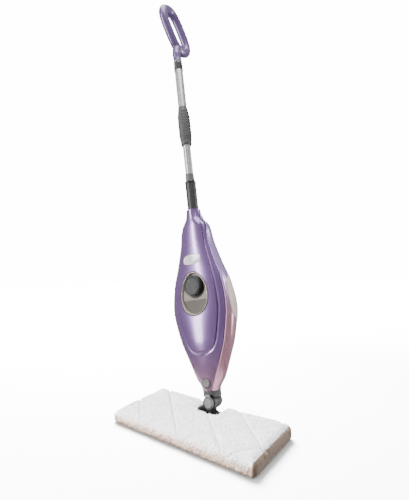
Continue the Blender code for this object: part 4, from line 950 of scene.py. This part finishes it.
def puffPad(piece):
    # cloth simulation: pressure lifts the diamonds between the sewn lines and the sole stays flat
    rest = [v.co.copy() for v in piece.data.vertices]
    held = piece.vertex_groups.new(name="held")
    for v in piece.data.vertices:
        x, y, z = v.co
        nearMouth = abs(x) < mouth["half"] + pad["heldMouth"] and y > mouth["front"] - pad["heldMouth"]
        if z < padLow.z + pad["heldSole"] or seamDistance(x, y) < pad["heldSeam"] or nearMouth:
            held.add([v.index], 1.0, 'REPLACE')
    cloth = piece.modifiers.new("puff", 'CLOTH')
    cloth.settings.vertex_group_mass = "held"
    cloth.settings.use_pressure = True
    cloth.settings.uniform_pressure_force = pad["pressure"]
    cloth.settings.effector_weights.gravity = 0
    cloth.settings.mass = pad["mass"]
    cloth.point_cache.frame_start, cloth.point_cache.frame_end = 1, pad["frames"]
    scene = bpy.context.scene
    for step in range(1, pad["frames"] + 1):
        scene.frame_set(step)
    graph = bpy.context.evaluated_depsgraph_get()
    puffed = piece.evaluated_get(graph).to_mesh()
    moved = [v.co.copy() for v in puffed.vertices]
    piece.evaluated_get(graph).to_mesh_clear()
    piece.modifiers.clear()
    piece.vertex_groups.clear()
    scene.frame_set(1)
    for v, before, after in zip(piece.data.vertices, rest, moved):
        step = after - before
        if step.length > pad["puffLimit"]:
            step *= pad["puffLimit"] / step.length
        v.co = before + step


puffPad(padPiece)
finer = padPiece.modifiers.new("finer", 'SUBSURF')
finer.levels = finer.render_levels = 1
bakeModifiers(padPiece)
cutWith(padPiece, mouthCutter(), Matrix.Identity(4))
again = padPiece.modifiers.new("voxels", 'REMESH')
again.mode = 'VOXEL'
again.voxel_size = pad["fineVoxel"]
ease = padPiece.modifiers.new("ease", 'SMOOTH')
ease.iterations = 3
ease.factor = 0.5
bakeModifiers(padPiece)
smoothed = [v.co.copy() for v in padPiece.data.vertices]
normals = [v.normal.copy() for v in padPiece.data.vertices]
for v, co, normal in zip(padPiece.data.vertices, smoothed, normals):
    top = smoothStep(co.z, padHigh.z - 0.014, padHigh.z - 0.004)
    dip = pad["valley"] * math.exp(-(seamDistance(co.x, co.y) / pad["valleyWidth"]) ** 2) * top
    atEnd = smoothStep(abs(co.x), padHigh.x - 0.009, padHigh.x - 0.006)
    atEnd *= 1 - smoothStep(co.z, pad["endTop"] - 0.002, pad["endTop"] + 0.001)
    rough = pad["pile"] * (1 - 0.85 * atEnd)
    bumps = noise.noise(co * pad["fineBumps"]) * 0.7 + noise.noise(co * pad["coarseBumps"]) * 0.8
    inward = min(padHigh.x - abs(co.x), co.y - padLow.y, padHigh.y - co.y)
    rise = pad["endLift"] * smoothStep(co.x, 0.05, padHigh.x)
    rise -= pad["edgeDrop"] * (1 - smoothStep(inward, 0.0, pad["edgeWidth"]))
    v.co = co + normal * (rough * bumps) + Vector((0, 0, rise * top - dip))
    v.co.z = max(v.co.z, padLow.z + 0.0002)
padPiece.data.shade_smooth()
print("pad done:", len(padPiece.data.polygons), "faces")


def pileTufts():
    # short tufts of pile standing on the pad, longer where they hang over its sides
    draw = random.Random(tufts["seed"])
    mesh = padPiece.data
    areas = [0.0]
    for face in mesh.polygons:
        areas.append(areas[-1] + face.area)
    bm = bmesh.new()
    placed = 0
    while placed < tufts["count"]:
        face = mesh.polygons[min(bisect.bisect(areas, draw.random() * areas[-1]), len(mesh.polygons)) - 1]
        co, normal = face.center, face.normal
        side = 1 - smoothStep(normal.z, 0.2, 0.8)
        if normal.z < -0.1 or co.z < padLow.z + 0.005 or side * pad["band"] * draw.random() > co.z - 0.006:
            continue
        if abs(co.x) > padHigh.x - 0.009 and co.z < pad["endTop"]:
            continue
        if abs(co.x) < mouth["half"] + tufts["mouthGap"] and co.y > mouth["front"] - tufts["mouthGap"]:
            continue
        if seamDistance(co.x, co.y) < tufts["seamGap"] and normal.z > 0.6:
            continue
        lean = Vector((draw.uniform(-1, 1), draw.uniform(-1, 1), draw.uniform(-1, 0.4)))
        way = (normal * 0.8 + lean * 0.8 - Vector((0, 0, 1.3 * side))).normalized()
        long = draw.uniform(tufts["short"], tufts["long"]) + tufts["hang"] * side * draw.random()
        across = way.orthogonal().normalized() * draw.uniform(tufts["thin"], tufts["thick"])
        foot = [bm.verts.new(co + Matrix.Rotation(math.tau * k / 3, 3, way) @ across) for k in range(3)]
        tip = bm.verts.new(co + way * long)
        for k in range(3):
            bm.faces.new((foot[k], foot[(k + 1) % 3], tip))
        bm.faces.new(foot[::-1])
        placed += 1
    return bm


pile = makePiece("pad_pile", pileTufts(), "head", "whitePile", (), None, 60,
                 turnNormals=False)
print("pile done")


def lookAlong(place, target):
    return (Vector(target) - Vector(place)).to_track_quat('-Z', 'Y').to_matrix().to_4x4()


def softLight(name, place, target, size, power):
    data = bpy.data.lights.new(name, 'AREA')
    data.shape = 'RECTANGLE'
    data.size, data.size_y = size
    data.energy = power
    light = bpy.data.objects.new(name, data)
    light.matrix_world = Matrix.Translation(place) @ lookAlong(place, target)
    bpy.context.scene.collection.objects.link(light)
    return light


bm = bmesh.new()
bmesh.ops.create_grid(bm, x_segments=2, y_segments=2, size=30)
floor = newObject("floor", bm)
studio = {"floorColour": 0.62, "glow": 15.0, "glowStart": 0.7, "glowEnd": 2.2, "ambient": 0.38}
# places are from the middle of the mop: to the camera's right, away from it and up
lights = {"keyLeft": {"place": (-1.58, -0.64, 0.25), "size": (0.22, 1.8), "power": 50},
          "rimRight": {"place": (1.7, 0.15, 0.2), "size": (0.35, 1.6), "power": 34},
          "top": {"place": (0, -0.3, 2.0), "size": (1.6, 1.6), "power": 56},
          "floorLight": {"place": (-0.4, 1.1, 1.3), "size": (1.1, 1.1), "power": 1100, "target": (0, 0, 0)},
          "padLight": {"place": (-1.1, -0.2, 0.9), "size": (0.7, 0.7), "power": 140, "target": (0, 0, 0)}}
floorFinish, tree, shader = startFinish("paleFloor", {"colour": (studio["floorColour"],) * 3, "rough": 0.9})
far = tree.nodes.new("ShaderNodeVectorMath")
far.operation = 'LENGTH'
tree.links.new(along(tree, turned=False), far.inputs[0])
away = spreadOver(tree, far.outputs["Value"], studio["glowStart"], studio["glowEnd"], 0, studio["glow"])
shader.inputs["Emission Color"].default_value = (1, 1, 1, 1)
tree.links.new(away, shader.inputs["Emission Strength"])
floor.data.materials.append(floorFinish)
floor.visible_diffuse = floor.visible_glossy = False

world = bpy.data.worlds.new("paleStudio")
world.use_nodes = True
tree = world.node_tree
seen = tree.nodes.new("ShaderNodeLightPath")
tree.links.new(spreadOver(tree, seen.outputs["Is Camera Ray"], 0, 1, studio["ambient"], studio["glow"]),
               tree.nodes["Background"].inputs["Strength"])
tree.nodes["Background"].inputs["Color"].default_value = (1, 1, 1, 1)
bpy.context.scene.world = world


def lightOnly(light, lit, shading):
    # the light reaches the first pieces and is held back by the second ones, and passes the rest
    for word, pieces, part in (("Lit", lit, "receiver_collection"),
                               ("Shading", shading, "blocker_collection")):
        group = bpy.data.collections.new(light.name + word)
        for piece in pieces:
            group.objects.link(piece)
        setattr(light.light_linking, part, group)


view = {"azimuth": 35.7, "place": (0.4305, -0.5789, 0.3607), "lens": 25.92}
a = math.radians(view["azimuth"])
right, ahead = Vector((math.cos(a), math.sin(a), 0)), Vector((-math.sin(a), math.cos(a), 0))
up = Vector((0, 0, 1))
centre = Vector((-0.05, 0.08, 0.45))
lamps = {}
for name, light in lights.items():
    aside, away, rise = light["place"]
    lamps[name] = softLight(name, centre + right * aside + ahead * away + up * rise,
                            light.get("target", centre), light["size"], light["power"])
lightOnly(lamps["floorLight"], [floor], [padPiece, pile])
lightOnly(lamps["padLight"], [padPiece, pile], [padPiece, pile])

camera = bpy.data.objects.new("camera", bpy.data.cameras.new("camera"))
camera.data.lens = view["lens"]
camera.data.sensor_width = 36
camera.location = view["place"]
camera.rotation_euler = (math.radians(90), 0, a)
camera.data.clip_start = 0.02
bpy.context.scene.collection.objects.link(camera)
bpy.context.scene.camera = camera
print("floor, lights and camera done")
